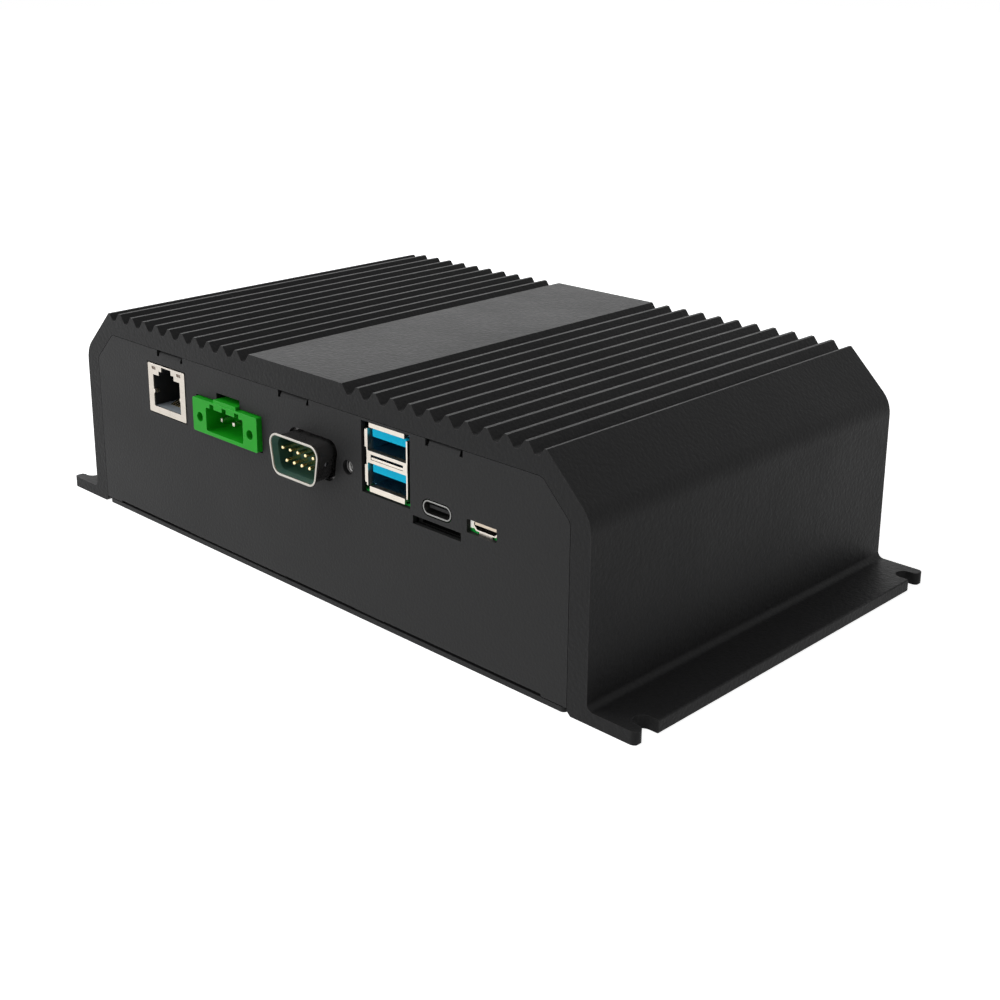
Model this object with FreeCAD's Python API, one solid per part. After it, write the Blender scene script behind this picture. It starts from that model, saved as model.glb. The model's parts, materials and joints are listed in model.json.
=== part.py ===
import FreeCAD, Part
import math
import os

# Fanless industrial computer: a finned aluminium cover over one circuit board, closed by a
# front panel, a rear panel and a bottom plate. All sizes are in millimetres.
# The origin is under the middle of the case, +X runs to the right along the connector side,
# +Y runs to the back and +Z runs up. The connector side is the front, at y = -depth / 2.

Vector = FreeCAD.Vector

# Sizes that many pieces share
overshoot = 1.0             # how far a cutter runs past the faces that it cuts
blind_room = 0.3            # end of a screw to the end of its hole
least_radius = 0.1          # smallest inside radius of a bend

# Finned cover, one extrusion that runs from front to back
overall_width = 206.0       # over both mounting flanges
depth = 111.0
height = 55.7               # underside of the flanges to the fin tips
body_width = 181.0          # over the side walls
side_wall = 5.2
roof_thickness = 6.35       # fin tips to the ceiling inside
corner_cut = 12.4           # width and height of the 45 degree cut along each top edge
cut_wall = 4.8              # wall behind that cut, measured square to it
cut_radius = 7.5            # rounding where the cut meets the side wall
ceiling_radius = 2.6        # rounding of the corners inside
flange_thickness = 3.0
flange_root_radius = 1.6
tip_radius = 0.35           # small rounding along the flange tips
inner_edge_cut = 0.9        # cut along the lower inside edge of the side walls

# Cooling fins, cut as V grooves on both sides of a flat band
band_width = 34.1
fin_pitch = 5.67
fin_crown = 0.87            # flat top of one fin
groove_depth = 2.3
groove_floor = 1.3
groove_radius = 0.5

# Mounting slots, open towards the flange tips
slot_width = 4.4
slot_reach = 4.4            # flange tip to the round end of the slot
slot_inset = 5.1            # end face of the cover to the middle of the slot

# Ledges inside the side walls that take the bottom screws
ledge_width = 7.0
ledge_height = 5.5
ledge_setback = 14.0        # end face to the start of the ledge
ledge_screw_spacing = 36.0

# Sheet metal panels and bottom plate
panel_thickness = 1.2
panel_gap = 0.15            # seam between a panel and the cover
bend_radius = 1.7           # outside of a bend
tab_length = 10.0           # panel face to the end of a tab
tab_width = 9.4
tab_spacing = 50.3
tab_shift = -0.5            # middle tab to the middle of the case
notch_width = 0.95          # relief cuts beside each tab
notch_depth = 1.6
wide_tab_x = -26.0          # lower tabs, which stand on the bottom plate
wide_tab_width = 40.0
narrow_tab_x = 24.7
narrow_tab_width = 10.2
window_radius = 0.3         # corners of the openings for the connectors
foot_width = 7.0            # lowered stretch at each end of a panel's lower edge
foot_gap = 0.35             # below that stretch
lower_gap = 0.85            # between a panel's lower edge and the bottom plate
bottom_thickness = 1.2
bottom_side_gap = 0.9       # bottom plate to the side walls
bottom_end_gap = 0.2        # bottom plate to the end faces
bottom_corner = 1.0

# Screws: radius of thread and head. A threaded hole is modelled smooth.
thread_gap = 0.05           # around a thread in its threaded hole
through_gap = 0.2           # around a thread in a clearance hole
small_thread = 1.25         # M2.5
small_head = 2.3
small_head_height = 1.5
large_thread = 1.5          # M3
large_head = 2.75
large_head_height = 1.9
bottom_screw_length = 4.6
tab_screw_grip = 3.0        # how deep a tab screw goes into the roof
socket_share = 0.5          # drive recess, as a share of the head's radius
socket_depth_share = 0.55   # its depth, as a share of the head's height
crown_share = 0.35          # bevel round a pan head, as a share of its height

# Main circuit board
board_thickness = 1.6
board_front_gap = 0.2       # panel to board
board_rear_gap = 10.4       # board to the rear panel
board_side_gap = 10.3       # board to the side walls
roof_clearance = 1.0        # ceiling to the tallest connector
standoff_flats = 5.0
standoff_side_inset = 6.5
standoff_front_inset = 28.0
standoff_rear_inset = 6.0
standoff_stud = 2.6
standoff_bore = 6.0
board_screw_length = 6.0
board_corner = 1.5

# Compute module under the heat block
module_width = 55.0
module_depth = 40.0
module_thickness = 1.2
module_corner = 3.0
module_lift = 3.0           # height of its board connectors
module_y = 5.0
module_screw_inset = 3.5
module_screw_length = 3.6
spacer_radius = 2.2
mezzanine_length = 24.0
mezzanine_width = 4.0
mezzanine_inset = 5.6
mezzanine_seam = 1.6        # height of the lower half of a connector
mezzanine_step = 0.5        # how much smaller the upper half is on each side
processor_size = 16.0
processor_height = 1.4
processor_lid_size = 13.4
processor_lid_height = 0.7
processor_lid_corner = 0.8
pad_thickness = 0.8
block_width = 46.0
block_depth = 30.0
block_corner = 2.0
block_screw_inset = 4.5
block_screw_grip = 2.8
module_chip_offset = 16.5   # middle of the module to the chips beside the processor
memory_width = 10.0
memory_length = 11.0
memory_height = 0.9
radio_can_size = 8.0
radio_can_height = 1.2
radio_can_corner = 0.6

# Ethernet jack
ethernet_x = -52.7
ethernet_width = 16.3
ethernet_height = 13.2
ethernet_depth = 21.3
ethernet_proud = 0.15
ethernet_sheet = 0.45
ethernet_corner = 0.35
ethernet_port_width = 11.9
ethernet_port_height = 8.5
ethernet_port_floor = 1.8   # board to the lower edge of the opening
ethernet_step_width = 6.8
ethernet_step_height = 1.2
ethernet_latch_width = 4.3
ethernet_latch_height = 1.25
ethernet_port_depth = 13.0
contact_pitch = 1.02
contact_count = 8
contact_width = 0.45
contact_thickness = 0.3
contact_rise = 2.6
contact_run = 8.0
contact_setback = 3.5
light_width = 1.8
light_height = 0.8
light_offset = 5.55         # middle of the jack to the middle of a light
light_drop = 1.1            # top of the jack to the middle of a light
light_depth = 3.0

# Three pole power header with screw flanges
header_x = -26.3
header_width = 26.2
header_height = 8.75
header_depth = 13.4
header_proud = 1.4
header_corner = 0.5
header_boss_width = 9.2
header_boss_height = 0.9
header_boss_depth = 8.0
header_boss_setback = 0.2
header_boss_corner = 0.3
header_boss_room = 1.2      # free height above the boss in its window
header_cavity_width = 15.1
header_cavity_height = 6.1
header_cavity_corner = 0.5
header_cavity_floor = 0.95
header_cavity_depth = 8.6
header_key_width = 1.7
header_key_height = 1.1
header_pitch = 5.08
header_poles = 3
header_pin = 1.0
header_pin_height = 3.6     # board to the middle of a pin
header_pin_setback = 2.7
header_pin_turn = 11.2      # front of the header to where a pin turns down
header_screw_offset = 10.2
header_screw_height = 3.95
header_nut_radius = 1.9
header_nut_setback = 2.4
header_nut_length = 4.0
header_bore_end = 3.0       # end of a screw bore to the back of the header
board_tail = 1.2            # how far pins stand out below the board

# Nine pin serial port
serial_x = 6.15
serial_height = 4.2         # board to the middle of the port
serial_width = 16.9
serial_tall = 9.3
serial_rim_width = 18.5     # over the flared rim
serial_rim_height = 10.1
serial_flare = 1.1          # length of the flare behind the rim
serial_lip = 0.35           # straight edge of the rim
serial_slant = 10.0         # degrees, of the two sloping sides
serial_corner = 2.7
serial_sheet = 0.55
serial_proud = 5.8
serial_flange_width = 30.8
serial_flange_height = 12.4
serial_flange_thickness = 1.0
serial_flange_corner = 1.5
serial_gap = 0.1            # around the rim as it goes through the panel
serial_block_depth = 9.0
serial_floor_drop = 5.2     # rim to the face that carries the pins
serial_pin_radius = 0.5
serial_pin_nose = 0.35
serial_pin_setback = 1.2
serial_pin_pitch = 2.77
serial_row_pitch = 2.84
serial_upper_pins = 5
serial_tail = 0.6
serial_bend_inset = 2.7     # back of the block to midway between the two rows of tails
serial_bend_pitch = 2.6
serial_screw_offset = 12.5
serial_insert_radius = 1.6
serial_insert_bore = 1.25
serial_insert_recess = 0.1  # back of the panel to the face of the insert
serial_collar_radius = 2.6
serial_collar_length = 3.2
serial_collar_floor = 0.6

# Two stacked USB ports
usb_x = 31.35
usb_width = 14.5            # over the lips
usb_height = 16.3
usb_recess = 0.4
usb_depth = 17.3
usb_corner = 0.4
usb_lip_depth = 0.6
usb_lip = 0.55              # how far the lips stand out from the can
usb_lip_notch = 1.35        # cut corners of the lips
usb_lip_corner = 0.2
usb_board_gap = 0.15        # board to the lowest lip
usb_foot_width = 1.4
usb_foot_length = 1.5
usb_foot_side = 0.3         # side of the can to a foot
usb_foot_setback = 2.5      # back of the can to a foot
usb_port_width = 12.6
usb_port_height = 5.5
usb_port_corner = 0.3
usb_lower_port = 1.45       # board to the lower port
usb_upper_port = 9.75       # board to the upper port
usb_bridge_slot = 1.3
usb_bridge_slot_width = 10.6
usb_sheet = 0.4
usb_tongue_width = 11.1
usb_tongue_height = 1.85
usb_tongue_corner = 0.25
usb_tongue_gap = 0.45       # above the tongue
usb_tongue_setback = 0.9
usb_port_depth = 9.4
usb_contact_count = 4
usb_contact_pitch = 2.2
usb_contact_width = 1.0
usb_contact_thickness = 0.2
usb_contact_length = 7.0
usb_contact_setback = 0.8   # front of the tongue to the springs
usb_window_gap = 0.7

# Oval USB port
oval_x = 47.6
oval_width = 8.7
oval_height = 3.4
oval_depth = 7.4
oval_sheet = 0.35
oval_recess = 0.0
oval_tongue_width = 6.6
oval_tongue_height = 0.8
oval_tongue_setback = 1.0
oval_port_depth = 5.0

# Memory card socket under the board
card_x = 47.5
card_slot_width = 14.9
card_slot_height = 2.0
card_socket_width = 14.0
card_socket_height = 1.6
card_socket_depth = 14.5
card_socket_corner = 0.2
card_mouth_width = 11.4
card_mouth_height = 0.9
card_mouth_depth = 12.0
card_mouth_drop = 0.9       # board to the middle of the mouth

# Small service port in the right window, with a status light beside it
service_x = 61.4
service_width = 7.5
service_height = 2.3
service_depth = 5.9
service_sheet = 0.3
service_corner = 0.3
service_reach = 0.35        # how far the port stands into its window
service_lip = 0.1           # how far the upper lip stands out
service_lip_depth = 0.25
service_lip_drop = 0.6      # how far the lower lip covers the edge of the board
service_lip_inset = 0.9     # side of the port to the end of a lip
service_slope = 0.9         # height of its sloping lower corners
service_tongue_width = 4.2
service_tongue_height = 0.65
service_tongue_setback = 0.8
service_tongue_lift = 1.35  # board to the middle of the tongue
service_port_depth = 4.2
window_width = 8.75
window_height = 3.1
window_x = 61.0
window_drop = 0.6           # top of the board to the lower edge of the window
status_x = 56.45
status_width = 1.2
status_height = 1.5
status_depth = 1.2
status_corner = 0.15
status_setback = 0.1        # front edge of the board to the light

# Other parts on the board
cell_radius = 10.0
cell_height = 3.2
cell_edge = 0.5
cell_stand = 1.0            # how far the cell stands out of its holder
cell_holder_wall = 1.2
cell_holder_floor = 1.0
cell_holder_corner = 3.0
cell_gap = 6.3              # compute module to the holder
cell_rear_inset = 22.0      # back edge of the board to the middle of the cell
inductor_size = 12.0
inductor_height = 6.0
inductor_corner = 2.5
inductor_gap = 5.5          # compute module to the inductor
capacitor_radius = 4.0
capacitor_height = 10.2
capacitor_edge = 0.7
capacitor_gap = 5.0         # inductor to the capacitors
capacitor_room = 3.0        # front standoff to the first capacitor, along Y
capacitor_pitch = 10.0
capacitor_count = 3
chip_height = 1.0
port_chip_width = 9.0
port_chip_length = 6.5
hub_chip_size = 9.0
power_chip_width = 12.0
power_chip_length = 8.0
storage_chip_size = 7.0
clock_chip_size = 5.0
chip_column_gap = 15.0      # side of the compute module to the middle of the chip column
chip_pitch = 22.0           # between the chips in that column
clock_chip_shift = 14.0     # chip column to the clock chip

# A general clearance around a connector in the front panel
port_gap = 0.3

# Places that follow from the sizes above
front = -depth / 2
panel_back = front + panel_thickness
cavity_half = body_width / 2 - side_wall
ceiling = height - roof_thickness
cut_line = body_width / 2 + height - corner_cut
ceiling_line = cut_line - cut_wall * math.sqrt(2)
board_top = ceiling - roof_clearance - usb_height
board_under = board_top - board_thickness
board_front = panel_back + board_front_gap
board_back = depth / 2 - panel_thickness - board_rear_gap
board_half = cavity_half - board_side_gap
tail_end = board_under - board_tail
middle_y = (board_front + board_back) / 2
module_middle = middle_y + module_y
module_under = board_top + module_lift
module_top = module_under + module_thickness
pad_under = module_top + processor_height
block_under = pad_under + pad_thickness
tab_centres = [tab_shift + step * tab_spacing for step in (-1, 0, 1)]
tab_screw_y = (panel_back + front + tab_length) / 2
wide_tab_screws = [wide_tab_x - wide_tab_width / 3, wide_tab_x + wide_tab_width / 3]
standoff_places = [(side * (board_half - standoff_side_inset), y)
                   for side in (-1, 1)
                   for y in (board_front + standoff_front_inset, board_back - standoff_rear_inset)]


# Helpers

def unit(u, v):
    size = math.hypot(u, v)
    return u / size, v / size


def outline(corners, place):
    """A closed wire through corners (u, v) or (u, v, radius), set in space by place(u, v)."""
    corners = [corner if len(corner) == 3 else (corner[0], corner[1], 0.0) for corner in corners]
    rounds = []
    for index, (u, v, radius) in enumerate(corners):
        before = corners[index - 1]
        after = corners[(index + 1) % len(corners)]
        back = (before[0] - u, before[1] - v)
        ahead = (after[0] - u, after[1] - v)
        room = min(math.hypot(*back), math.hypot(*ahead)) / 2
        back = unit(*back)
        ahead = unit(*ahead)
        half = math.acos(max(-1.0, min(1.0, back[0] * ahead[0] + back[1] * ahead[1]))) / 2
        cut = min(radius / math.tan(half), room) if radius > 0 else 0.0
        entry = (u + back[0] * cut, v + back[1] * cut)
        leave = (u + ahead[0] * cut, v + ahead[1] * cut)
        middle = (u, v)
        if cut > 0:
            inward = unit(back[0] + ahead[0], back[1] + ahead[1])
            reach = cut * math.tan(half) * (1 / math.sin(half) - 1)
            middle = (u + inward[0] * reach, v + inward[1] * reach)
        rounds.append((entry, middle, leave, cut))
    edges = []
    for index, (entry, middle, leave, cut) in enumerate(rounds):
        if cut > 0:
            edges.append(Part.Arc(place(*entry), place(*middle), place(*leave)).toShape())
        following = rounds[(index + 1) % len(rounds)][0]
        if math.hypot(following[0] - leave[0], following[1] - leave[1]) > 1e-6:
            edges.append(Part.LineSegment(place(*leave), place(*following)).toShape())
    return Part.Wire(edges)


def prism_y(corners, y_start, y_end):
    """A profile drawn in X and Z, carried from y_start to y_end."""
    wire = outline(corners, lambda u, v: Vector(u, y_start, v))
    return Part.Face(wire).extrude(Vector(0, y_end - y_start, 0))


def prism_x(corners, x_start, x_end):
    """A profile drawn in Y and Z, carried from x_start to x_end."""
    wire = outline(corners, lambda u, v: Vector(x_start, u, v))
    return Part.Face(wire).extrude(Vector(x_end - x_start, 0, 0))


def prism_z(corners, z_start, z_end):
    """A profile drawn in X and Y, carried from z_start to z_end."""
    wire = outline(corners, lambda u, v: Vector(u, v, z_start))
    return Part.Face(wire).extrude(Vector(0, 0, z_end - z_start))


def rectangle(u_start, u_end, v_start, v_end, radius=0.0):
    return [(u_start, v_start, radius), (u_end, v_start, radius),
            (u_end, v_end, radius), (u_start, v_end, radius)]


def box(x_start, x_end, y_start, y_end, z_start, z_end):
    corner = Vector(x_start, y_start, z_start)
    return Part.makeBox(x_end - x_start, y_end - y_start, z_end - z_start, corner)


def centred_box(x, y, width, length, z_start, z_end):
    return box(x - width / 2, x + width / 2, y - length / 2, y + length / 2, z_start, z_end)


def upright(x, y, radius, z_start, z_end):
    return Part.makeCylinder(radius, z_end - z_start, Vector(x, y, z_start))


def level(x, z, radius, y_start, y_end):
    """A cylinder that lies along Y."""
    return Part.makeCylinder(radius, y_end - y_start, Vector(x, y_start, z), Vector(0, 1, 0))


def hexagon(x, y, flats):
    reach = flats / math.sqrt(3)
    angles = [math.radians(60 * step) for step in range(6)]
    return [(x + reach * math.cos(angle), y + reach * math.sin(angle)) for angle in angles]


def turned_y(profile, x, z):
    """A round piece that lies along Y, from a profile of (radius, y) that starts and ends on its axis."""
    wire = outline(profile, lambda radius, y: Vector(x + radius, y, z))
    return Part.Face(wire).revolve(Vector(x, 0, z), Vector(0, 1, 0), 360)


def turned_z(profile, x, y):
    """A round piece that stands along Z, from a profile of (radius, z) that starts and ends on its axis."""
    wire = outline(profile, lambda radius, z: Vector(x + radius, y, z))
    return Part.Face(wire).revolve(Vector(x, y, 0), Vector(0, 0, 1), 360)


def socket(x, y, head, start, end):
    """Cutter for the drive recess in a screw's head."""
    return prism_z(hexagon(x, y, 2 * head * socket_share), min(start, end), max(start, end))


def pan_screw(x, y, seat, thread, head, head_height, length, way):
    """A pan head screw: its head rests at z = seat and its thread runs along way, +1 up or -1 down."""
    crown = seat - way * head_height
    bevel = head_height * crown_share
    tip = seat + way * length
    body = turned_z([(0, crown), (head - bevel, crown), (head, crown + way * bevel), (head, seat),
                     (thread, seat), (thread, tip), (0, tip)], x, y)
    return body.cut(socket(x, y, head, crown, crown + way * head_height * socket_depth_share))


def flat_screw(x, y, face, thread, head, length):
    """A countersunk screw that points up, with its head flush at z = face."""
    cone_top = face + head - thread
    tip = face + length
    body = turned_z([(0, face), (head, face), (thread, cone_top), (thread, tip), (0, tip)], x, y)
    return body.cut(socket(x, y, head, face, face + (cone_top - face) * socket_depth_share))


def flat_seat(x, y, face, thread, head, depth_below):
    """The countersunk hole for flat_screw: it starts at z = face and runs up."""
    bore = thread + through_gap
    cone = Part.makeCone(head, bore, head - bore, Vector(x, y, face))
    return cone.fuse(upright(x, y, bore, face, face + depth_below))


# Finned cover

def roof_corners():
    """Right half of the finned roof, from the flat band to the cut edge."""
    valley = height - groove_depth
    opening = fin_pitch - fin_crown
    cut_start = cut_line - height
    grooves = max(1, round((cut_start - band_width / 2) / fin_pitch))
    corners = []
    for step in range(grooves):
        left = band_width / 2 + step * fin_pitch
        right = left + opening
        inset = (opening - groove_floor) / 2
        corners.append((left, height))
        corners.append((left + inset, valley, groove_radius))
        corners.append((right - inset, valley, groove_radius))
        if right < cut_start:
            corners.append((right, height))
    if right < cut_start:
        corners.append((cut_start, height, tip_radius))
    else:
        slope = groove_depth / inset
        x = (cut_line - valley + slope * (right - inset)) / (1 + slope)
        corners.append((x, cut_line - x, tip_radius))
    return corners


def cover_corners():
    """The whole section of the cover: outside from left to right, then back along the inside."""
    wall = body_width / 2
    tip = overall_width / 2
    outside = roof_corners() + [
        (wall, cut_line - wall, cut_radius),
        (wall, flange_thickness, flange_root_radius),
        (tip, flange_thickness, tip_radius),
        (tip, 0.0, tip_radius),
        (cavity_half + inner_edge_cut, 0.0)]
    inside = [
        (cavity_half, inner_edge_cut),
        (cavity_half, ceiling_line - cavity_half, ceiling_radius),
        (ceiling_line - ceiling, ceiling, ceiling_radius)]
    right = outside + inside
    left = [(-corner[0],) + tuple(corner[1:]) for corner in reversed(right)]
    return right + left


def mounting_slot(side, end):
    """Cutters for one open slot, and for the round tip of the strip beside it."""
    tip = overall_width / 2
    reach = tip + overshoot
    low = -overshoot
    high = flange_thickness + overshoot
    y = end * (depth / 2 - slot_inset)
    radius = slot_width / 2
    seat = tip - slot_reach + radius
    slot = box(*sorted((side * seat, side * reach)), y - radius, y + radius, low, high)
    slot = slot.fuse(upright(side * seat, y, radius, low, high))
    strip = slot_inset - radius
    strip_x = side * (tip - strip / 2)
    strip_y = end * (depth / 2 - strip / 2)
    x_range = sorted((strip_x, side * reach))
    y_range = sorted((end * (depth / 2 - strip), end * (depth / 2 + overshoot)))
    corner = box(*x_range, *y_range, low, high).cut(upright(strip_x, strip_y, strip / 2, low, high))
    return [slot, corner]


def ledge_screw_places():
    x = cavity_half - ledge_width / 2
    return [(side * x, step * ledge_screw_spacing) for side in (-1, 1) for step in (-1, 0, 1)]


def lower_tab_screw_places():
    y = front + panel_thickness + (tab_length - panel_thickness) / 2
    row = [(x, y) for x in wide_tab_screws + [narrow_tab_x]]
    return row + [(x, -y) for x, y in row]


def block_screw_places():
    x = block_width / 2 - block_screw_inset
    y = block_depth / 2 - block_screw_inset
    return [(side * x, module_middle + end * y) for side in (-1, 1) for end in (-1, 1)]


def heatsink_cover():
    cover = prism_y(cover_corners(), front, -front)
    for side in (-1, 1):
        x_range = sorted((side * (cavity_half - ledge_width), side * (cavity_half + side_wall / 2)))
        y_end = depth / 2 - ledge_setback
        cover = cover.fuse(box(*x_range, -y_end, y_end, bottom_thickness, bottom_thickness + ledge_height))
    cover = cover.removeSplitter()
    tools = []
    for side in (-1, 1):
        for end in (-1, 1):
            tools += mounting_slot(side, end)
    for x, y in ledge_screw_places():
        tools.append(upright(x, y, small_thread + thread_gap, 0, bottom_screw_length + blind_room))
    roof_holes = [(x, y, tab_screw_grip) for x in tab_centres for y in (tab_screw_y, -tab_screw_y)]
    roof_holes += [(x, y, standoff_stud) for x, y in standoff_places]
    roof_holes += [(x, y, block_screw_grip) for x, y in block_screw_places()]
    for x, y, grip in roof_holes:
        tools.append(upright(x, y, large_thread + thread_gap, ceiling - overshoot,
                             ceiling + grip + blind_room))
    return [cover.cut(tools)]


# Sheet metal

def panel_outline():
    """Corners of a panel, which fills the end of the cover apart from a narrow seam."""
    half = cavity_half - panel_gap
    top = ceiling - panel_gap
    line = ceiling_line - panel_gap * math.sqrt(2)
    radius = ceiling_radius - panel_gap
    foot = bottom_thickness + foot_gap
    edge = bottom_thickness + lower_gap
    right = [(line - top, top, radius), (half, line - half, radius), (half, foot),
             (half - foot_width, foot), (half - foot_width, edge)]
    return right + [(-corner[0],) + tuple(corner[1:]) for corner in reversed(right)]


def tab(x, width, level_face, way):
    """An L shaped strip: it rises or drops along the panel and bends inwards at level_face."""
    face = level_face
    inner = face - way * panel_thickness
    root = face - way * (bend_radius + panel_thickness)
    inside = max(bend_radius - panel_thickness, least_radius)
    corners = [(front, root), (front, face, bend_radius), (front + tab_length, face),
               (front + tab_length, inner), (panel_back, inner, inside), (panel_back, root)]
    return prism_x(corners, x - width / 2, x + width / 2)


def folded_panel():
    """Panel with three upper tabs and two lower tabs, drawn at the front of the case."""
    top = ceiling - panel_gap
    panel = prism_y(panel_outline(), front, panel_back)
    for x in tab_centres:
        reach = tab_width / 2 + notch_width
        panel = panel.cut(box(x - reach, x + reach, front - overshoot, panel_back + overshoot,
                              top - notch_depth, top + overshoot))
        panel = panel.fuse(tab(x, tab_width, top, 1))
        panel = panel.cut(upright(x, tab_screw_y, large_thread + through_gap,
                                  top - panel_thickness - overshoot, top + overshoot))
    for x, width in ((wide_tab_x, wide_tab_width), (narrow_tab_x, narrow_tab_width)):
        panel = panel.fuse(tab(x, width, bottom_thickness, -1))
    panel = panel.removeSplitter()
    for x, y in lower_tab_screw_places():
        if y < 0:
            panel = panel.cut(upright(x, y, small_thread + thread_gap, 0, bottom_screw_length))
    return panel


def d_corners(x, z, width, tall, radius):
    """The outline of a serial shell: wide at the top, with sloping sides."""
    lean = tall * math.tan(math.radians(serial_slant))
    return [(x - width / 2, z + tall / 2, radius), (x + width / 2, z + tall / 2, radius),
            (x + width / 2 - lean, z - tall / 2, radius), (x - width / 2 + lean, z - tall / 2, radius)]


def serial_middle():
    return board_top + serial_height


def serial_rim_corners(inset):
    return d_corners(serial_x, serial_middle(), serial_rim_width - 2 * inset,
                     serial_rim_height - 2 * inset, serial_corner - inset)


def serial_corners(inset):
    return d_corners(serial_x, serial_middle(), serial_width - 2 * inset,
                     serial_tall - 2 * inset, serial_corner - inset)


def front_windows():
    """Cutters for the connectors in the front panel."""
    y_range = (front - overshoot, panel_back + overshoot)
    left = ethernet_x - ethernet_width / 2 - port_gap
    right = ethernet_x + ethernet_width / 2 + port_gap
    windows = [prism_y(rectangle(left, right, board_top - port_gap,
                                 board_top + ethernet_height + port_gap, window_radius), *y_range)]
    reach = header_width / 2 + port_gap
    header_top = board_top + header_height + port_gap
    windows.append(prism_y(rectangle(header_x - reach, header_x + reach,
                                     board_top - port_gap, header_top, window_radius), *y_range))
    reach = header_boss_width / 2 + port_gap / 2
    windows.append(box(header_x - reach, header_x + reach, *y_range, board_top,
                       header_top + header_boss_height + header_boss_room))
    windows.append(prism_y(serial_rim_corners(-serial_gap), *y_range))
    for side in (-1, 1):
        windows.append(level(serial_x + side * serial_screw_offset, serial_middle(),
                             serial_insert_radius + through_gap, *y_range))
    reach = usb_width / 2 + usb_window_gap
    windows.append(box(usb_x - reach, usb_x + reach, *y_range, board_top - port_gap,
                       board_top + usb_height + port_gap))
    half_width = oval_width / 2 + port_gap
    half_height = oval_height / 2 + port_gap
    z = board_top + oval_height / 2
    windows.append(prism_y(rectangle(oval_x - half_width, oval_x + half_width, z - half_height,
                                     z + half_height, half_height), *y_range))
    windows.append(box(card_x - card_slot_width / 2, card_x + card_slot_width / 2, *y_range,
                       board_under - card_slot_height + port_gap, board_under + port_gap))
    low = board_top - window_drop
    windows.append(prism_y(rectangle(window_x - window_width / 2, window_x + window_width / 2,
                                     low, low + window_height, window_radius), *y_range))
    return windows


def front_panel():
    return [folded_panel().cut(front_windows())]


def rear_panel():
    return [folded_panel().mirror(Vector(0, 0, 0), Vector(0, 1, 0))]


def bottom_cover():
    half_width = cavity_half - bottom_side_gap
    half_length = depth / 2 - bottom_end_gap
    corners = rectangle(-half_width, half_width, -half_length, half_length, bottom_corner)
    plate = prism_z(corners, 0, bottom_thickness)
    seats = [flat_seat(x, y, 0.0, small_thread, small_head, bottom_thickness)
             for x, y in ledge_screw_places() + lower_tab_screw_places()]
    return [plate.cut(seats)]


def bottom_cover_screws():
    return [flat_screw(x, y, 0.0, small_thread, small_head, bottom_screw_length)
            for x, y in ledge_screw_places() + lower_tab_screw_places()]


def panel_tab_screws():
    seat = ceiling - panel_gap - panel_thickness
    length = panel_thickness + panel_gap + tab_screw_grip
    return [pan_screw(x, y, seat, large_thread, large_head, large_head_height, length, 1)
            for x in tab_centres for y in (tab_screw_y, -tab_screw_y)]


# Main board and how it hangs from the roof

def header_pin_places():
    first = header_x - (header_poles - 1) / 2 * header_pitch
    return [first + step * header_pitch for step in range(header_poles)]


def serial_pin_places():
    """(x, z, row) of each pin: five in the upper row, four in the lower row between them."""
    z = serial_middle()
    places = []
    for row, count in ((1, serial_upper_pins), (-1, serial_upper_pins - 1)):
        first = serial_x - (count - 1) / 2 * serial_pin_pitch
        places += [(first + step * serial_pin_pitch, z + row * serial_row_pitch / 2, row)
                   for step in range(count)]
    return places


def main_board():
    corners = rectangle(-board_half, board_half, board_front, board_back, board_corner)
    board = prism_z(corners, board_under, board_top)
    z_range = (board_under - overshoot, board_top + overshoot)
    reach = serial_flange_width / 2 + port_gap
    notch_back = panel_back + serial_flange_thickness + board_front_gap
    tools = [box(serial_x - reach, serial_x + reach, board_front - overshoot, notch_back, *z_range)]
    for x, y in standoff_places:
        tools.append(upright(x, y, large_thread + through_gap, *z_range))
    pins = terminal_pins() + serial_pins()
    return [board.cut(tools).cut(pins)]


def board_standoffs():
    posts = []
    for x, y in standoff_places:
        post = prism_z(hexagon(x, y, standoff_flats), board_top, ceiling)
        post = post.fuse(upright(x, y, large_thread, ceiling, ceiling + standoff_stud))
        bore = upright(x, y, large_thread + thread_gap, board_top - overshoot, board_top + standoff_bore)
        posts.append(post.cut(bore))
    return posts


def board_screws():
    return [pan_screw(x, y, board_under, large_thread, large_head, large_head_height,
                      board_screw_length, 1) for x, y in standoff_places]


# Compute module and its heat path

def module_screw_places():
    x = module_width / 2 - module_screw_inset
    y = module_depth / 2 - module_screw_inset
    return [(side * x, module_middle + end * y) for side in (-1, 1) for end in (-1, 1)]


def compute_module():
    corners = rectangle(-module_width / 2, module_width / 2, module_middle - module_depth / 2,
                        module_middle + module_depth / 2, module_corner)
    board = prism_z(corners, module_under, module_top)
    holes = [upright(x, y, small_thread + through_gap, module_under - overshoot, module_top + overshoot)
             for x, y in module_screw_places()]
    return [board.cut(holes)]


def module_spacers():
    spacers = []
    for x, y in module_screw_places():
        spacer = upright(x, y, spacer_radius, board_top, module_under)
        spacers.append(spacer.cut(upright(x, y, small_thread + thread_gap, board_top - overshoot,
                                          module_under + overshoot)))
    return spacers


def module_screws():
    return [pan_screw(x, y, module_top, small_thread, small_head, small_head_height,
                      module_screw_length, -1) for x, y in module_screw_places()]


def module_connectors():
    """Two mated strips, each with a narrower upper half."""
    reach = module_depth / 2 - mezzanine_inset
    seam = board_top + mezzanine_seam
    strips = []
    for end in (-1, 1):
        y = module_middle + end * reach
        lower = centred_box(0, y, mezzanine_length, mezzanine_width, board_top, seam)
        upper = centred_box(0, y, mezzanine_length - 2 * mezzanine_step,
                            mezzanine_width - 2 * mezzanine_step, seam, module_under)
        strips.append(lower.fuse(upper))
    return strips


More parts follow.
